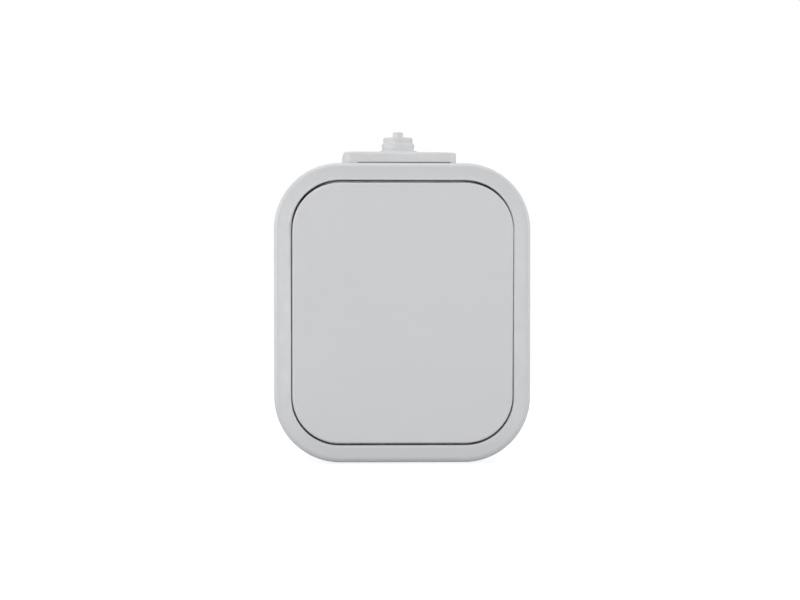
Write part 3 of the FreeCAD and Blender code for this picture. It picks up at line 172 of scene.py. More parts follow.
def moulded(name, colour, roughness, depth=0.012 * MM, marks=()):
    """Spark-textured moulded plastic, with a faint drift of tone, fine specks and flow lines."""
    made = Shader(name)
    drift = made.between(
        made.noise(DRIFT_SIZE, detail=2.0), shade(colour, DRIFT_DARK), shade(colour, DRIFT_LIGHT)
    )
    speck = made.spread(made.noise(SPECK_SIZE, detail=2.0), 0.0, 1.0, SPECK_START, SPECK_END)
    speck = made.maths("MULTIPLY", speck, SPECK_SHARE)
    made.set_colour(made.between(speck, drift, shade(colour, SPECK_SHADE)))
    made.set_roughness(made.spread(made.noise(SHEEN_SIZE, detail=4.0), *roughness))
    flow = made.noise(FLOW_SIZE, detail=2.0, stretch=FLOW_STRETCH)
    height = made.noise(GRAIN_SIZE, roughness=0.6)
    height = made.maths("ADD", height, made.maths("MULTIPLY", flow, FLOW_SHARE))
    for middle, radius in marks:
        height = made.maths("ADD", height, ring_mark(made, middle, radius))
    made.set_bump(height, depth)
    return made.material


MARK_SINK = 5.0
MARK_EDGE = 0.12 * MM


def ring_mark(made, middle, radius):
    """The round witness of a mould pin on the flat back. It is sunk by this many depths of the grain."""
    offset = made.node("ShaderNodeVectorMath", operation="SUBTRACT")
    offset.inputs[1].default_value = middle
    made.link(made.place, offset.inputs[0])
    far = made.node("ShaderNodeVectorMath", operation="LENGTH")
    made.link(offset.outputs["Vector"], far.inputs[0])
    return made.spread(far.outputs["Value"], -MARK_SINK, 0.0, radius - MARK_EDGE, radius + MARK_EDGE)


DUST_SIZE = 4.0 * MM
DUST_START, DUST_END = 0.40, 0.75
SKIN_SIZE = 1.6 * MM
MEAL_SIZE = 0.22 * MM
RIPPLE_SIZE = 2.2 * MM
RUBBER_DEPTH = 0.02 * MM


def rubber(name, colour, roughness, bloom=0.05):
    """Soft elastomer: a matt skin with a mealy grain and a trace of dusty bloom."""
    made = Shader(name)
    dust = made.spread(made.noise(DUST_SIZE, detail=5.0, roughness=0.65), 0.0, 1.0, DUST_START, DUST_END)
    pale = tuple(c + (1.0 - c) * bloom for c in colour)
    made.set_colour(made.between(dust, colour, pale))
    made.set_roughness(made.spread(made.noise(SKIN_SIZE, detail=4.0), *roughness))
    meal = made.noise(MEAL_SIZE, roughness=0.7)
    made.set_bump(made.maths("ADD", meal, made.noise(RIPPLE_SIZE, detail=2.0)), RUBBER_DEPTH)
    return made.material


DULL_SIZE = 3.0 * MM
DULL_START, DULL_END = 0.42, 0.72
STREAK_SIZE = 0.25 * MM
STREAK_SHARE = 0.6
METAL_DEPTH = 0.004 * MM


def metal(name, colour, dark, roughness, stretch=None):
    """Bare or plated metal with drawn or rolled streaks and patches of dulling."""
    made = Shader(name, metallic=1.0)
    dull = made.spread(made.noise(DULL_SIZE, detail=6.0, roughness=0.6), 0.0, 1.0, DULL_START, DULL_END)
    made.set_colour(made.between(dull, colour, dark))
    streak = made.noise(STREAK_SIZE, detail=4.0, roughness=0.6, stretch=stretch)
    mixed = made.maths("MULTIPLY", made.maths("ADD", streak, dull), STREAK_SHARE)
    made.set_roughness(made.spread(mixed, *roughness))
    made.set_bump(streak, METAL_DEPTH)
    return made.material


PIN_PLACES = ((-17.0, 8.0), (17.0, 8.0), (-17.0, -14.0), (17.0, -14.0))
PIN_RADIUS = 2.6 * MM
GATE_PLACE = Vector((0.0, 0.0, -5.0)) * MM
GATE_RADIUS = 1.3 * MM
BACK_MARKS = [(Vector((x, 0.0, z)) * MM, PIN_RADIUS) for x, z in PIN_PLACES] + [(GATE_PLACE, GATE_RADIUS)]

HOUSING_GREY = (0.618, 0.625, 0.640)
# The rocker is the housing's own plastic, painted about three percent lighter: a painted lighter tone that stands
# in for the brighter light on its face.
ROCKER_GREY_PAINTED_LIGHTER = (0.638, 0.643, 0.655)
ENTRY_GREY = (0.628, 0.633, 0.645)
SEAL_BLACK = (0.028, 0.028, 0.029)
BOOT_BLACK = (0.040, 0.040, 0.042)
BASE_BLACK = (0.075, 0.079, 0.084)
COVER_GREY = (0.46, 0.46, 0.43)
ACETAL_CREAM = (0.55, 0.48, 0.34)
ZINC, DULL_ZINC = (0.62, 0.63, 0.65), (0.47, 0.48, 0.47)
WIRE, DULL_WIRE = (0.50, 0.50, 0.51), (0.36, 0.35, 0.33)
BRASS, DULL_BRASS = (0.62, 0.40, 0.13), (0.43, 0.25, 0.08)
SILVER, DULL_SILVER = (0.83, 0.81, 0.78), (0.60, 0.57, 0.52)

box_plastic = moulded(
    "housing_box", HOUSING_GREY, roughness=(0.40, 0.52), depth=0.016 * MM, marks=BACK_MARKS
)
frame_plastic = moulded("housing_frame", HOUSING_GREY, roughness=(0.36, 0.48))
# The rocker's material carries that painted lighter tone of the housing plastic.
rocker_plastic_painted_lighter = moulded("rocker_plate", ROCKER_GREY_PAINTED_LIGHTER, roughness=(0.38, 0.50))
entry_rubber = rubber("cable_entry_rubber", ENTRY_GREY, roughness=(0.58, 0.72), bloom=0.10)
seal_rubber = rubber("seal_rubber", SEAL_BLACK, roughness=(0.62, 0.80))
boot_rubber = rubber("boot_rubber", BOOT_BLACK, roughness=(0.55, 0.74))
zinc_steel = metal("zinc_plated_steel", ZINC, DULL_ZINC, roughness=(0.26, 0.46))
spring_wire = metal("drawn_spring_wire", WIRE, DULL_WIRE, roughness=(0.24, 0.42), stretch=(1, 6, 6))
base_plastic = moulded("switch_base_plastic", BASE_BLACK, roughness=(0.46, 0.60), depth=0.02 * MM)
cover_plastic = moulded("switch_cover_plastic", COVER_GREY, roughness=(0.40, 0.55))
acetal = moulded("plunger_acetal", ACETAL_CREAM, roughness=(0.26, 0.36), depth=0.004 * MM)
brass = metal("stamped_brass", BRASS, DULL_BRASS, roughness=(0.24, 0.44), stretch=(1, 1, 9))
silver = metal("contact_silver", SILVER, DULL_SILVER, roughness=(0.20, 0.40))

FINISH = {
    "rear_box": box_plastic,
    "front_frame": frame_plastic,
    "rocker": rocker_plastic_painted_lighter,
    "cable_gland": entry_rubber,
    "frame_gasket": seal_rubber,
    "fixing_seals": seal_rubber,
    "frame_screw_seals": seal_rubber,
    "post_boot": boot_rubber,
    "frame_screws": zinc_steel,
    "switch_screws": zinc_steel,
    "terminal_screws": zinc_steel,
    "plunger_spring": spring_wire,
    "switch_base": base_plastic,
    "switch_cover": cover_plastic,
    "plunger": acetal,
    "common_terminal": brass,
    "switched_terminal": brass,
    "terminal_clamps": brass,
    "contact_seesaw": brass,
    "fixed_contact": silver,
    "moving_contact": silver,
}
for node_name, finish in FINISH.items():
    for material_slot in nodes[node_name].material_slots:
        material_slot.material = finish


# Mesh helpers
SHARP_ANGLE = math.radians(32)
LEAST_CORNER = 0.05 * MM


def new_piece(name, mesh, material, body, slot, *stands_for):
    """A named piece of this mesh. It rides on body, or with None it rides on no body."""
    for face in mesh.polygons:
        face.use_smooth = True
    mesh.set_sharp_from_angle(angle=SHARP_ANGLE)
    mesh.materials.clear()
    mesh.materials.append(material)
    piece = bpy.data.objects.new(name, mesh)
    bpy.context.scene.collection.objects.link(piece)
    if body:
        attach(piece, body)
    if stands_for:
        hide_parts(*stands_for)
    return piece


def turns_of(count):
    """Equally spaced angles of one full turn."""
    return [math.tau * n / count for n in range(count)]


def closed_loft(rings):
    """A closed solid through rings of equally many points, with a flat cap at each end."""
    shell = bmesh.new()
    rows = [[shell.verts.new(point) for point in ring] for ring in rings]
    count = len(rows[0])
    for low, high in zip(rows, rows[1:]):
        for n in range(count):
            m = (n + 1) % count
            shell.faces.new((low[n], low[m], high[m], high[n]))
    shell.faces.new(tuple(reversed(rows[0])))
    shell.faces.new(tuple(rows[-1]))
    bmesh.ops.recalc_face_normals(shell, faces=shell.faces)
    return shell


def as_mesh(shell, name):
    mesh = bpy.data.meshes.new(name)
    shell.to_mesh(mesh)
    shell.free()
    return mesh


def cut_and_join(first, others):
    """The first mesh after each (operation, mesh) of others, worked out exactly."""
    base = bpy.data.objects.new("work_base", first)
    bpy.context.scene.collection.objects.link(base)
    helpers = []
    for operation, mesh in others:
        helper = bpy.data.objects.new("work_tool", mesh)
        bpy.context.scene.collection.objects.link(helper)
        helpers.append(helper)
        step = base.modifiers.new("step", "BOOLEAN")
        step.operation = operation
        step.solver = "EXACT"
        step.object = helper
    bpy.context.view_layer.update()
    done = bpy.data.meshes.new_from_object(base.evaluated_get(bpy.context.evaluated_depsgraph_get()))
    for helper in (base, *helpers):
        bpy.data.objects.remove(helper)
    return done


def rounded_outline(half_width, half_length, corner, per_corner=10, per_side=12):
    """Points round a rectangle with round corners, anticlockwise seen from above."""
    arcs = []
    for n, (sx, sy) in enumerate(((1, 1), (-1, 1), (-1, -1), (1, -1))):
        centre = Vector((sx * (half_width - corner), sy * (half_length - corner)))
        angles = [math.pi / 2 * (n + k / per_corner) for k in range(per_corner + 1)]
        arcs.append([centre + corner * Vector((math.cos(a), math.sin(a))) for a in angles])
    points = []
    for arc, following in zip(arcs, arcs[1:] + arcs[:1]):
        points += arc
        points += [arc[-1].lerp(following[0], k / per_side) for k in range(1, per_side)]
    return points


def block(x, y, z, corner, edge):
    """A block with round upright corners and a small slope along its top and bottom edges."""
    middle = Vector(((x[0] + x[1]) / 2, (y[0] + y[1]) / 2))
    half_width, half_length = (x[1] - x[0]) / 2, (y[1] - y[0]) / 2
    rings = []
    for level, inset in ((z[0], edge), (z[0] + edge, 0.0), (z[1] - edge, 0.0), (z[1], edge)):
        least = max(corner - inset, LEAST_CORNER)
        ring = rounded_outline(half_width - inset, half_length - inset, least, per_corner=4, per_side=2)
        rings.append([(*(middle + point), level) for point in ring])
    return as_mesh(closed_loft(rings), "block")


# Soft cable entry
gland_low, gland_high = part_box("cable_gland")
GLAND_AXIS = mounts["cable_entry"]["pos_m"][1]
HALF_WIDTH = gland_high.x
HALF_DEPTH = gland_high.y - GLAND_AXIS
PLATE_CORNER = 2.5 * MM
PLATE_SEAT = 37.75 * MM
PLATE_TOP = 42.55 * MM
PLATE_REACH = 15.0 * MM
SEAT_EDGE = 0.18 * MM
DRAFT_MIDDLE, DRAFT_CHANGE = 2.3, 1.3
RIM_MIDDLE, RIM_LOSS_LEFT, RIM_LOSS_RIGHT = 0.80 * MM, 0.15 * MM, 0.42 * MM
CREST_FALL = 0.12 * MM
WANDER_SIZE, WANDER_REACH = 9.0 * MM, 0.08 * MM
CROWN_RADIUS = 7.0 * MM
CROWN_TOP = 42.75 * MM
FLARE_IN, FLARE_RISE, FLARE_POWER = 2.72, 0.75, 1.5
WALL_ROWS, RIM_ROWS, CROWN_ROWS, FLARE_ROWS, ARC_ROWS = 3, 7, 8, 6, 5
BORE_SIDES = 48


def wall_slope(point):
    """How far the plate's wall leans in as it rises, more on the left than on the right."""
    return math.tan(math.radians(DRAFT_MIDDLE - DRAFT_CHANGE * point.x / PLATE_REACH))


def rim_radius(point):
    """The round of the plate's upper edge, which gets smaller towards its two ends."""
    side = point.x / PLATE_REACH
    loss = RIM_LOSS_RIGHT if side > 0 else RIM_LOSS_LEFT
    return RIM_MIDDLE - loss * abs(side) ** 3


def crest(point):
    """The height of the plate's top, a little lower on the right and with a soft moulding's slow drift."""
    drift = WANDER_REACH * noise.noise(Vector((*point, 0.0)) / WANDER_SIZE)
    return PLATE_TOP - CREST_FALL * (1 + point.x / PLATE_REACH) + drift


def wall_rise(point):
    return crest(point) - rim_radius(point) - PLATE_SEAT


def seat_row(point, share):
    """Inset and height of the plate's lowest edge, the same all round."""
    return SEAT_EDGE, PLATE_SEAT


def wall_row(point, share):
    """Inset and height on the leaning wall, from its foot at 0 to the start of the rim at 1."""
    rise = wall_rise(point)
    return wall_slope(point) * share * rise, PLATE_SEAT + SEAT_EDGE + (rise - SEAT_EDGE) * share


def rim_row(point, share):
    """Inset and height on the round rim, from the wall at 0 to the plate's top at 1."""
    angle = math.pi / 2 * share
    inset = wall_slope(point) * wall_rise(point) + rim_radius(point) * (1 - math.cos(angle))
    return inset, crest(point) - rim_radius(point) * (1 - math.sin(angle))


def plate_ring(outline, row, share):
    ring = []
    for point in outline:
        inset, height = row(point, share)
        across = point.x * (1 - inset / HALF_WIDTH)
        along = point.y * (1 - inset / HALF_DEPTH)
        ring.append((across, GLAND_AXIS + along, height))
    return ring


def arc_rows(radius, top, corner):
    """Rows of a profile that turns from a wall of this radius on to a flat top."""
    rows = []
    for k in range(ARC_ROWS + 1):
        angle = math.pi / 2 * k / ARC_ROWS
        rows.append((radius - corner * (1 - math.cos(angle)), top - corner * (1 - math.sin(angle))))
    return rows


def nipple_profile():
    """Rows of the stepped nipple from the crown to its closed tip: radius and height in millimetres."""
    rows = []
    for k in range(1, FLARE_ROWS + 1):
        share = k / FLARE_ROWS
        rows.append((CROWN_RADIUS / MM - FLARE_IN * share, CROWN_TOP / MM + FLARE_RISE * share**FLARE_POWER))
    lower_ring = [(4.20, 43.62), (4.28, 44.0), (4.38, 44.4), (4.40, 44.85), (4.37, 44.97)]
    shoulder = [(4.20, 45.16), (4.04, 45.34), (3.95, 45.44), (3.92, 45.6), (3.93, 46.0)]
    upper_ring = arc_rows(radius=3.95, top=46.85, corner=0.38)
    tip_foot = [(2.6, 46.87), (1.7, 46.91), (1.45, 46.99), (1.37, 47.15)]
    tip = arc_rows(radius=1.35, top=gland_high.z / MM, corner=0.32) + [(0.6, 48.33), (0.35, 48.22)]
    return rows + lower_ring + shoulder + upper_ring + tip_foot + tip


def entry_skin():
    """The plate that overlaps the box, drawn up through a low crown into the stepped nipple."""
    outline = rounded_outline(HALF_WIDTH, HALF_DEPTH, PLATE_CORNER)
    rings = [plate_ring(outline, seat_row, 0.0)]
    rings += [plate_ring(outline, wall_row, k / WALL_ROWS) for k in range(WALL_ROWS + 1)]
    rings += [plate_ring(outline, rim_row, k / RIM_ROWS) for k in range(1, RIM_ROWS + 1)]
    axis = Vector((0.0, GLAND_AXIS))
    plate_edge = [Vector(point) for point in rings[-1]]
    headings = [(point.xy - axis).normalized() for point in plate_edge]
    for k in range(1, CROWN_ROWS + 1):
        share = k / CROWN_ROWS
        ring = []
        for point, heading in zip(plate_edge, headings):
            flat = point.xy.lerp(axis + heading * CROWN_RADIUS, share)
            ring.append((*flat, point.z + (CROWN_TOP - point.z) * share**2))
        rings.append(ring)
    for radius, level in nipple_profile():
        rings.append([(*(axis + heading * radius * MM), level * MM) for heading in headings])
    return as_mesh(closed_loft(rings), "entry_skin")


def entry_bore():
    """The way for the cable, from inside the box up to the closed tip."""
    rings = []
    for radius, level in ((2.95, 32.0), (2.95, 45.2), (2.6, 45.6), (1.9, 45.7)):
        ring = []
        for angle in turns_of(BORE_SIDES):
            across, along = radius * MM * math.cos(angle), radius * MM * math.sin(angle)
            ring.append((across, GLAND_AXIS + along, level * MM))
        rings.append(ring)
    return as_mesh(closed_loft(rings), "bore")


def make_entry():
    """The skin with the gap under its front, the neck in the box's slot, and what holds it there."""
    front_gap = block(
        x=(-11.2 * MM, 13.6 * MM),
        y=(-31.0 * MM, -26.3 * MM),
        z=(PLATE_SEAT - 1.0 * MM, 39.75 * MM),
        corner=0.9 * MM,
        edge=0.2 * MM,
    )
    neck = block(
        x=(-11.9 * MM, 11.9 * MM),
        y=(-29.45 * MM, -8.0 * MM),
        z=(gland_low.z + 1.2 * MM, 38.3 * MM),
        corner=0.4 * MM,
        edge=0.1 * MM,
    )
    tongue = block(
        x=(-11.85 * MM, 11.85 * MM),
        y=(gland_low.y, -9.0 * MM),
        z=(35.2 * MM, 36.5 * MM),
        corner=0.3 * MM,
        edge=0.1 * MM,
    )
    flange = block(
        x=(-HALF_WIDTH, HALF_WIDTH),
        y=(GLAND_AXIS - HALF_DEPTH, GLAND_AXIS + HALF_DEPTH),
        z=(gland_low.z, gland_low.z + 1.8 * MM),
        corner=1.6 * MM,
        edge=0.3 * MM,
    )
    steps = [("DIFFERENCE", front_gap), ("UNION", neck), ("UNION", tongue), ("UNION", flange)]
    mesh = cut_and_join(entry_skin(), steps + [("DIFFERENCE", entry_bore())])
    return new_piece("cable_entry_membrane", mesh, entry_rubber, "housing", "soft_entry", "cable_gland")


make_entry()


# Screws
SCREW_SIDES = 40
ROWS_PER_PITCH = 8
THREAD_HALF_WIDTH = 0.32
LONG_SCREW = 8.0 * MM
LONG_POINT, SHORT_POINT = 1.6 * MM, 0.4 * MM
POINT_END = 0.35
HEAD_WALL = 0.45
HEAD_ROUND = 0.42
HEAD_ROWS = 6
RECESS_TURN = math.radians(28)
RECESS_FLARE = 1.04
RECESS_ABOVE = 1.0 * MM
CORNERS = ((-1, -1), (1, -1), (1, 1), (-1, 1))


def thread_rings(seat, end, core, crest_radius, pitch):
    """Rings of a screw's shank along its axis, with a rolled thread and a cone at the end."""
    length = seat - end
    point_length = LONG_POINT if length > LONG_SCREW else SHORT_POINT
    steps = max(ROWS_PER_PITCH, int(length / pitch * ROWS_PER_PITCH))
    rings = []
    for k in range(steps + 1):
        depth = end + length * k / steps
        taper = min(1.0, POINT_END + (1.0 - POINT_END) * (depth - end) / point_length)
        ring = []
        for angle in turns_of(SCREW_SIDES):
            phase = (depth / pitch - angle / math.tau) % 1.0
            ridge = max(0.0, 1.0 - abs(phase - 0.5) / THREAD_HALF_WIDTH)
            radius = (core + (crest_radius - core) * ridge) * taper
            ring.append((radius * math.cos(angle), depth, radius * math.sin(angle)))
        rings.append(ring)
    return rings


def head_rings(seat, head, height):
    """Rings of a pan head: a short wall under a rounded top."""
    profile = [(head - 0.15 * MM, seat), (head, seat + 0.12 * MM), (head, seat + HEAD_WALL * height)]
    for k in range(1, HEAD_ROWS + 1):
        angle = math.pi / 2 * k / HEAD_ROWS
        radius = head - HEAD_ROUND * head * (1 - math.cos(angle))
        profile.append((radius, seat + height * (HEAD_WALL + (1 - HEAD_WALL) * math.sin(angle))))
    profile.append((0.2 * head, seat + height))
    return [
        [(radius * math.cos(a), depth, radius * math.sin(a)) for a in turns_of(SCREW_SIDES)]
        for radius, depth in profile
    ]


def recess_cutter(at, top, half_width, half_height, sunk):
    """A bar that cuts a driver's slot into a head, a little wider at its mouth."""
    tool = bmesh.new()
    low = [tool.verts.new((sx * half_width, top + sunk, sz * half_height)) for sx, sz in CORNERS]
    high = []
    for sx, sz in CORNERS:
        mouth = (sx * half_width * RECESS_FLARE, top - RECESS_ABOVE, sz * half_height * RECESS_FLARE)
        high.append(tool.verts.new(mouth))
    for n in range(4):
        m = (n + 1) % 4
        tool.faces.new((low[n], low[m], high[m], high[n]))
    tool.faces.new(low)
    tool.faces.new(high)
    turned = Matrix.Translation((at[0], 0.0, at[1])) @ Matrix.Rotation(RECESS_TURN, 4, "Y")
    bmesh.ops.transform(tool, matrix=turned, verts=tool.verts)
    bmesh.ops.recalc_face_normals(tool, faces=tool.faces)
    return "DIFFERENCE", as_mesh(tool, "recess")


def screw_mesh(at, seat, end, head, height, core, crest_radius, pitch, slotted):
    """A pan-head screw along the depth axis at this x and z, with a plain slot or a cross recess."""
    rings = thread_rings(seat, end, core, crest_radius, pitch) + head_rings(seat, head, height)
    placed = [[(at[0] + x, -depth, at[1] + z) for x, depth, z in ring] for ring in rings]
    top = -(seat + height)
    if slotted:
        cutters = [recess_cutter(at, top, head * 1.2, 0.30 * MM, sunk=0.9 * MM)]
    else:
        long, thin, sunk = head * 0.62, 0.27 * MM, 1.25 * MM
        cutters = [recess_cutter(at, top, long, thin, sunk), recess_cutter(at, top, thin, long, sunk)]
    return cut_and_join(as_mesh(closed_loft(placed), "screw"), cutters)


def screw_places(node, head):
    """The axes, as x and z, of a node's two screws, which stand left and right of the middle."""
    places = []
    for side in (-1, 1):
        points = [vertex.co for vertex in nodes[node].data.vertices if vertex.co.x * side > 0]
        heights = [point.z for point in points]
        places.append((max(point.x for point in points) - head, (min(heights) + max(heights)) / 2))
    return places


def make_screws(name, node, head, height, **shape):
    """One piece with both screws of a CAD node, each as long as the node and where it has them."""
    front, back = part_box(node)
    seat, end = -front.y - height, -back.y
    joined = bmesh.new()
    for at in screw_places(node, head):
        joined.from_mesh(screw_mesh(at, seat, end, head, height, **shape))
    return new_piece(name, as_mesh(joined, name), zinc_steel, "housing", "steel", node)


FIXING_SCREW = {
    "head": 2.8 * MM,
    "height": 2.0 * MM,
    "core": 0.95 * MM,
    "crest_radius": 1.25 * MM,
    "pitch": 1.1 * MM,
    "slotted": False,
}
CLAMP_SCREW = {
    "head": 2.2 * MM,
    "height": 2.2 * MM,
    "core": 1.05 * MM,
    "crest_radius": 1.25 * MM,
    "pitch": 0.5 * MM,
    "slotted": True,
}
make_screws("frame_fixing_screws", "frame_screws", **FIXING_SCREW)
make_screws("switch_fixing_screws", "switch_screws", **FIXING_SCREW)
make_screws("terminal_clamp_screws", "terminal_screws", **CLAMP_SCREW)


# Boot and spring, which give with the rocker's post
PIVOT = Vector(joints["rocker_pivot"]["pos_m"])
POST_WAY = Vector(joints["plunger_slide"]["axis"])
BOOT_SIDES = 72
GAITER_HELD, GAITER_FREE = 37.4, 39.4
SPRING_START, SPRING_END = 7.37 * MM, 20.18 * MM
COIL_RADIUS, WIRE_RADIUS = 1.4 * MM, 0.2 * MM
SPRING_TURNS, STEPS_PER_TURN, WIRE_SIDES = 8, 40, 10
CLOSED_RISE = 2.1 * WIRE_RADIUS


def turned_ring(profile, shift):
    """A ring turned about the depth axis from a closed profile of (radius, depth) in millimetres.
    Each row is moved up by what shift gives for its depth."""
    shell = bmesh.new()
    rows = []
    for angle in turns_of(BOOT_SIDES):
        row = []
        for radius, depth in profile:
            height = radius * math.sin(angle) + shift(depth)
            row.append(shell.verts.new((radius * math.cos(angle) * MM, -depth * MM, height * MM)))
        rows.append(row)
    count = len(profile)
    for first, second in zip(rows, rows[1:] + rows[:1]):
        for n in range(count):
            m = (n + 1) % count
            shell.faces.new((first[n], first[m], second[m], second[n]))
    bmesh.ops.recalc_face_normals(shell, faces=shell.faces)
    return shell


def no_shift(depth):
    return 0.0


def post_shift(depth):
    """How far up the tilted post's axis lies at this depth, reached bit by bit along the gaiter's fold."""
    share = min(1.0, max(0.0, (depth - GAITER_HELD) / (GAITER_FREE - GAITER_HELD)))
    return share * (-PIVOT.y / MM - depth) * POST_WAY.z / POST_WAY.y


def make_grommet():
    """The firm ring of the boot, snapped into the tray's collar."""
    hole, waist, rim = 7.0, 7.95, 9.5
    back, groove_back, groove_front, front = 36.5, 37.5, 40.7, 41.5
    ease, soft_ease = 0.2, 0.3
    profile = [
        (hole, back + ease),
        (hole + ease, back),
        (rim - ease, back),
        (rim, back + ease),
        (rim, groove_back - ease),
        (rim - ease, groove_back),
        (waist, groove_back),
        (waist, groove_front),
        (rim - ease, groove_front),
        (rim, groove_front + 0.15),
        (rim, front - soft_ease),
        (rim - soft_ease, front - 0.05),
        (8.4, front),
        (hole + soft_ease, front),
        (hole, front - soft_ease),
    ]
    mesh = as_mesh(turned_ring(profile, no_shift), "boot_grommet")
    new_piece("boot_grommet", mesh, boot_rubber, "housing", "dark_seal", "post_boot")


def make_gaiter():
    """The thin skin of the boot, held in the grommet, which grips the post and rolls with it."""
    held_edge = [(6.2, 36.6), (6.8, 36.6), (6.97, 36.75), (6.97, 37.25)]
    outer_fold = [(6.8, 37.5), (6.55, 37.9), (6.2, 38.3), (5.9, 38.7), (5.7, 39.1)]
    outer_sleeve = [(5.6, 39.6), (5.58, 40.4), (5.75, 40.9), (5.7, 41.2), (5.45, 41.35)]
    inner_sleeve = [(4.75, 41.35), (4.62, 41.2), (4.62, 40.4), (4.62, 39.6)]
    inner_fold = [(4.85, 39.1), (5.1, 38.7), (5.45, 38.3), (5.8, 37.9), (6.05, 37.5), (6.1, 37.0)]
    profile = held_edge + outer_fold + outer_sleeve + inner_sleeve + inner_fold
    mesh = as_mesh(turned_ring(profile, post_shift), "boot_gaiter")
    gaiter = new_piece("boot_gaiter", mesh, boot_rubber, None, "dark_seal")
    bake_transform(gaiter)


def spring_height(turn):
    """How far along the post the wire has come after this many turns. The first and last lie closed."""
    if turn < 1:
        return SPRING_START + CLOSED_RISE * turn
    if turn > SPRING_TURNS - 1:
        return SPRING_END - CLOSED_RISE * (SPRING_TURNS - turn)
    open_length = SPRING_END - SPRING_START - 2 * CLOSED_RISE
    return SPRING_START + CLOSED_RISE + open_length * (turn - 1) / (SPRING_TURNS - 2)


def make_spring():
    """A round-wire spring with a closed coil at each end, one in the post and one in the plunger."""
    side_way = Vector((1.0, 0.0, 0.0))
    up_way = side_way.cross(POST_WAY)
    rings = []
    for k in range(SPRING_TURNS * STEPS_PER_TURN + 1):
        turn = k / STEPS_PER_TURN
        out = side_way * math.cos(math.tau * turn) + up_way * math.sin(math.tau * turn)
        middle = PIVOT + POST_WAY * spring_height(turn) + out * COIL_RADIUS
        ring = []
        for angle in turns_of(WIRE_SIDES):
            ring.append(middle + (out * math.cos(angle) + POST_WAY * math.sin(angle)) * WIRE_RADIUS)
        rings.append(ring)
    mesh = as_mesh(closed_loft(rings), "spring")
    spring = new_piece("plunger_coil_spring", mesh, spring_wire, None, "spring_steel", "plunger_spring")
    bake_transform(spring)


make_grommet()
make_gaiter()
make_spring()


# Stage, light and camera
FLOOR_DROP = 0.4 * MM
FLOOR_RADIUS = 6.0
FLOOR_SIDES = 64
FLOOR_GREY = (0.42, 0.42, 0.43, 1.0)
FLOOR_GLOW = 0.84
WHITE = (1.0, 1.0, 1.0, 1.0)
SKY_FILL = 0.68
AIM = Vector((0.0, -45.0, 0.0)) * MM

IMAGE_WIDTH = 800
PIXEL = 0.2576 * MM
SENSOR_WIDTH = 36.0
VIEW_TURN = math.radians(-2.4)
VIEW_DISTANCE = 0.62
VIEW_MIDDLE = Vector((0.0, -45.5, 0.0)) * MM
PIXELS_LEFT, PIXELS_UP = 2.35, 12.6
CLIP_START, CLIP_END = 0.01, 30.0


def backdrop_rays(tree):
    """One for a ray from the camera, in gloss or through something clear, and otherwise nought."""
    seen = tree.nodes.new("ShaderNodeLightPath")
    rays = seen.outputs["Is Camera Ray"]
    for kind in ("Is Glossy Ray", "Is Transmission Ray"):
        either = tree.nodes.new("ShaderNodeMath")
        either.operation = "MAXIMUM"
        tree.links.new(rays, either.inputs[0])
        tree.links.new(seen.outputs[kind], either.inputs[1])
        rays = either.outputs[0]
    return rays


def floor_material():
    """Matt pale grey with a glow that only the backdrop's rays see, and clear from below."""
    material = bpy.data.materials.new("pale_floor")
    material.use_nodes = True
    tree = material.node_tree
    tree.nodes.clear()
    link = tree.links.new
    out = tree.nodes.new("ShaderNodeOutputMaterial")
    matt = tree.nodes.new("ShaderNodeBsdfDiffuse")
    matt.inputs["Color"].default_value = FLOOR_GREY
    glow = tree.nodes.new("ShaderNodeEmission")
    strength = tree.nodes.new("ShaderNodeMath")
    strength.operation = "MULTIPLY"
    strength.inputs[1].default_value = FLOOR_GLOW
    both = tree.nodes.new("ShaderNodeAddShader")
    clear = tree.nodes.new("ShaderNodeBsdfTransparent")
    side = tree.nodes.new("ShaderNodeNewGeometry")
    pick = tree.nodes.new("ShaderNodeMixShader")
    link(backdrop_rays(tree), strength.inputs[0])
    link(strength.outputs[0], glow.inputs["Strength"])
    link(matt.outputs[0], both.inputs[0])
    link(glow.outputs[0], both.inputs[1])
    link(side.outputs["Backfacing"], pick.inputs[0])
    link(both.outputs[0], pick.inputs[1])
    link(clear.outputs[0], pick.inputs[2])
    link(pick.outputs[0], out.inputs["Surface"])
    return material


def stage_floor():
    shell = bmesh.new()
    bmesh.ops.create_circle(shell, cap_ends=True, radius=FLOOR_RADIUS, segments=FLOOR_SIDES)
    for vertex in shell.verts:
        vertex.co.z = cad_box[0].z - FLOOR_DROP
    mesh = as_mesh(shell, "floor")
    mesh.materials.append(floor_material())
    floor = bpy.data.objects.new("floor", mesh)
    bpy.context.scene.collection.objects.link(floor)


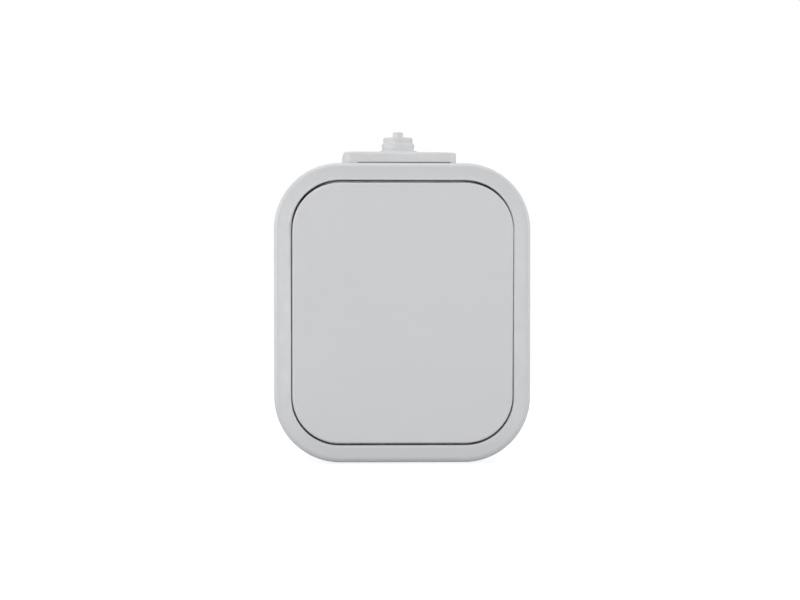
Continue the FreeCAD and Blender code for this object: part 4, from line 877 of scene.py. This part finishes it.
def white_world():
    """White where the backdrop's rays go past the object, and otherwise a soft fill that grows overhead."""
    world = bpy.data.worlds.new("studio")
    bpy.context.scene.world = world
    world.use_nodes = True
    tree = world.node_tree
    tree.nodes.clear()
    link = tree.links.new
    place = tree.nodes.new("ShaderNodeTexCoord")
    parts = tree.nodes.new("ShaderNodeSeparateXYZ")
    overhead = tree.nodes.new("ShaderNodeMapRange")
    overhead.inputs["To Max"].default_value = SKY_FILL
    fill = tree.nodes.new("ShaderNodeBackground")
    fill.inputs["Color"].default_value = WHITE
    white = tree.nodes.new("ShaderNodeBackground")
    white.inputs["Color"].default_value = WHITE
    pick = tree.nodes.new("ShaderNodeMixShader")
    out = tree.nodes.new("ShaderNodeOutputWorld")
    link(place.outputs["Generated"], parts.inputs[0])
    link(parts.outputs["Z"], overhead.inputs["Value"])
    link(overhead.outputs[0], fill.inputs["Strength"])
    link(backdrop_rays(tree), pick.inputs[0])
    link(fill.outputs[0], pick.inputs[1])
    link(white.outputs[0], pick.inputs[2])
    link(pick.outputs[0], out.inputs["Surface"])


def softbox(name, place, size, power):
    """A rectangular lamp that faces the rocker."""
    data = bpy.data.lights.new(name, "AREA")
    data.shape = "RECTANGLE"
    data.size, data.size_y = size
    data.energy = power
    lamp = bpy.data.objects.new(name, data)
    bpy.context.scene.collection.objects.link(lamp)
    lamp.location = place
    lamp.rotation_mode = "QUATERNION"
    lamp.rotation_quaternion = (AIM - Vector(place)).to_track_quat("-Z", "Y")


def photo_camera():
    """The photograph's view: level and a little left of square on."""
    back = Vector((math.sin(VIEW_TURN), -math.cos(VIEW_TURN), 0.0))
    right = Vector((math.cos(VIEW_TURN), math.sin(VIEW_TURN), 0.0))
    up = Vector((0.0, 0.0, 1.0))
    data = bpy.data.cameras.new("camera")
    data.sensor_width = SENSOR_WIDTH
    data.lens = SENSOR_WIDTH * VIEW_DISTANCE / (IMAGE_WIDTH * PIXEL)
    data.clip_start, data.clip_end = CLIP_START, CLIP_END
    camera = bpy.data.objects.new("camera", data)
    bpy.context.scene.collection.objects.link(camera)
    framing = (up * PIXELS_UP - right * PIXELS_LEFT) * PIXEL
    camera.location = VIEW_MIDDLE + back * VIEW_DISTANCE + framing
    camera.rotation_mode = "QUATERNION"
    camera.rotation_quaternion = (-back).to_track_quat("-Z", "Y")
    bpy.context.scene.camera = camera


stage_floor()
white_world()
softbox("left_box", place=(-0.16, -0.80, 0.005), size=(0.14, 0.08), power=1.40)
softbox("right_box", place=(0.25, -0.78, 0.005), size=(0.14, 0.08), power=1.32)
softbox("overhead_box", place=(0.0, 0.02, 0.60), size=(0.70, 0.25), power=1.4)
softbox("left_side_box", place=(-0.60, -0.10, 0.13), size=(0.25, 0.32), power=1.5)
softbox("right_side_box", place=(0.60, -0.06, 0.13), size=(0.25, 0.32), power=0.97)
photo_camera()
bpy.context.scene.view_settings.view_transform = "Standard"
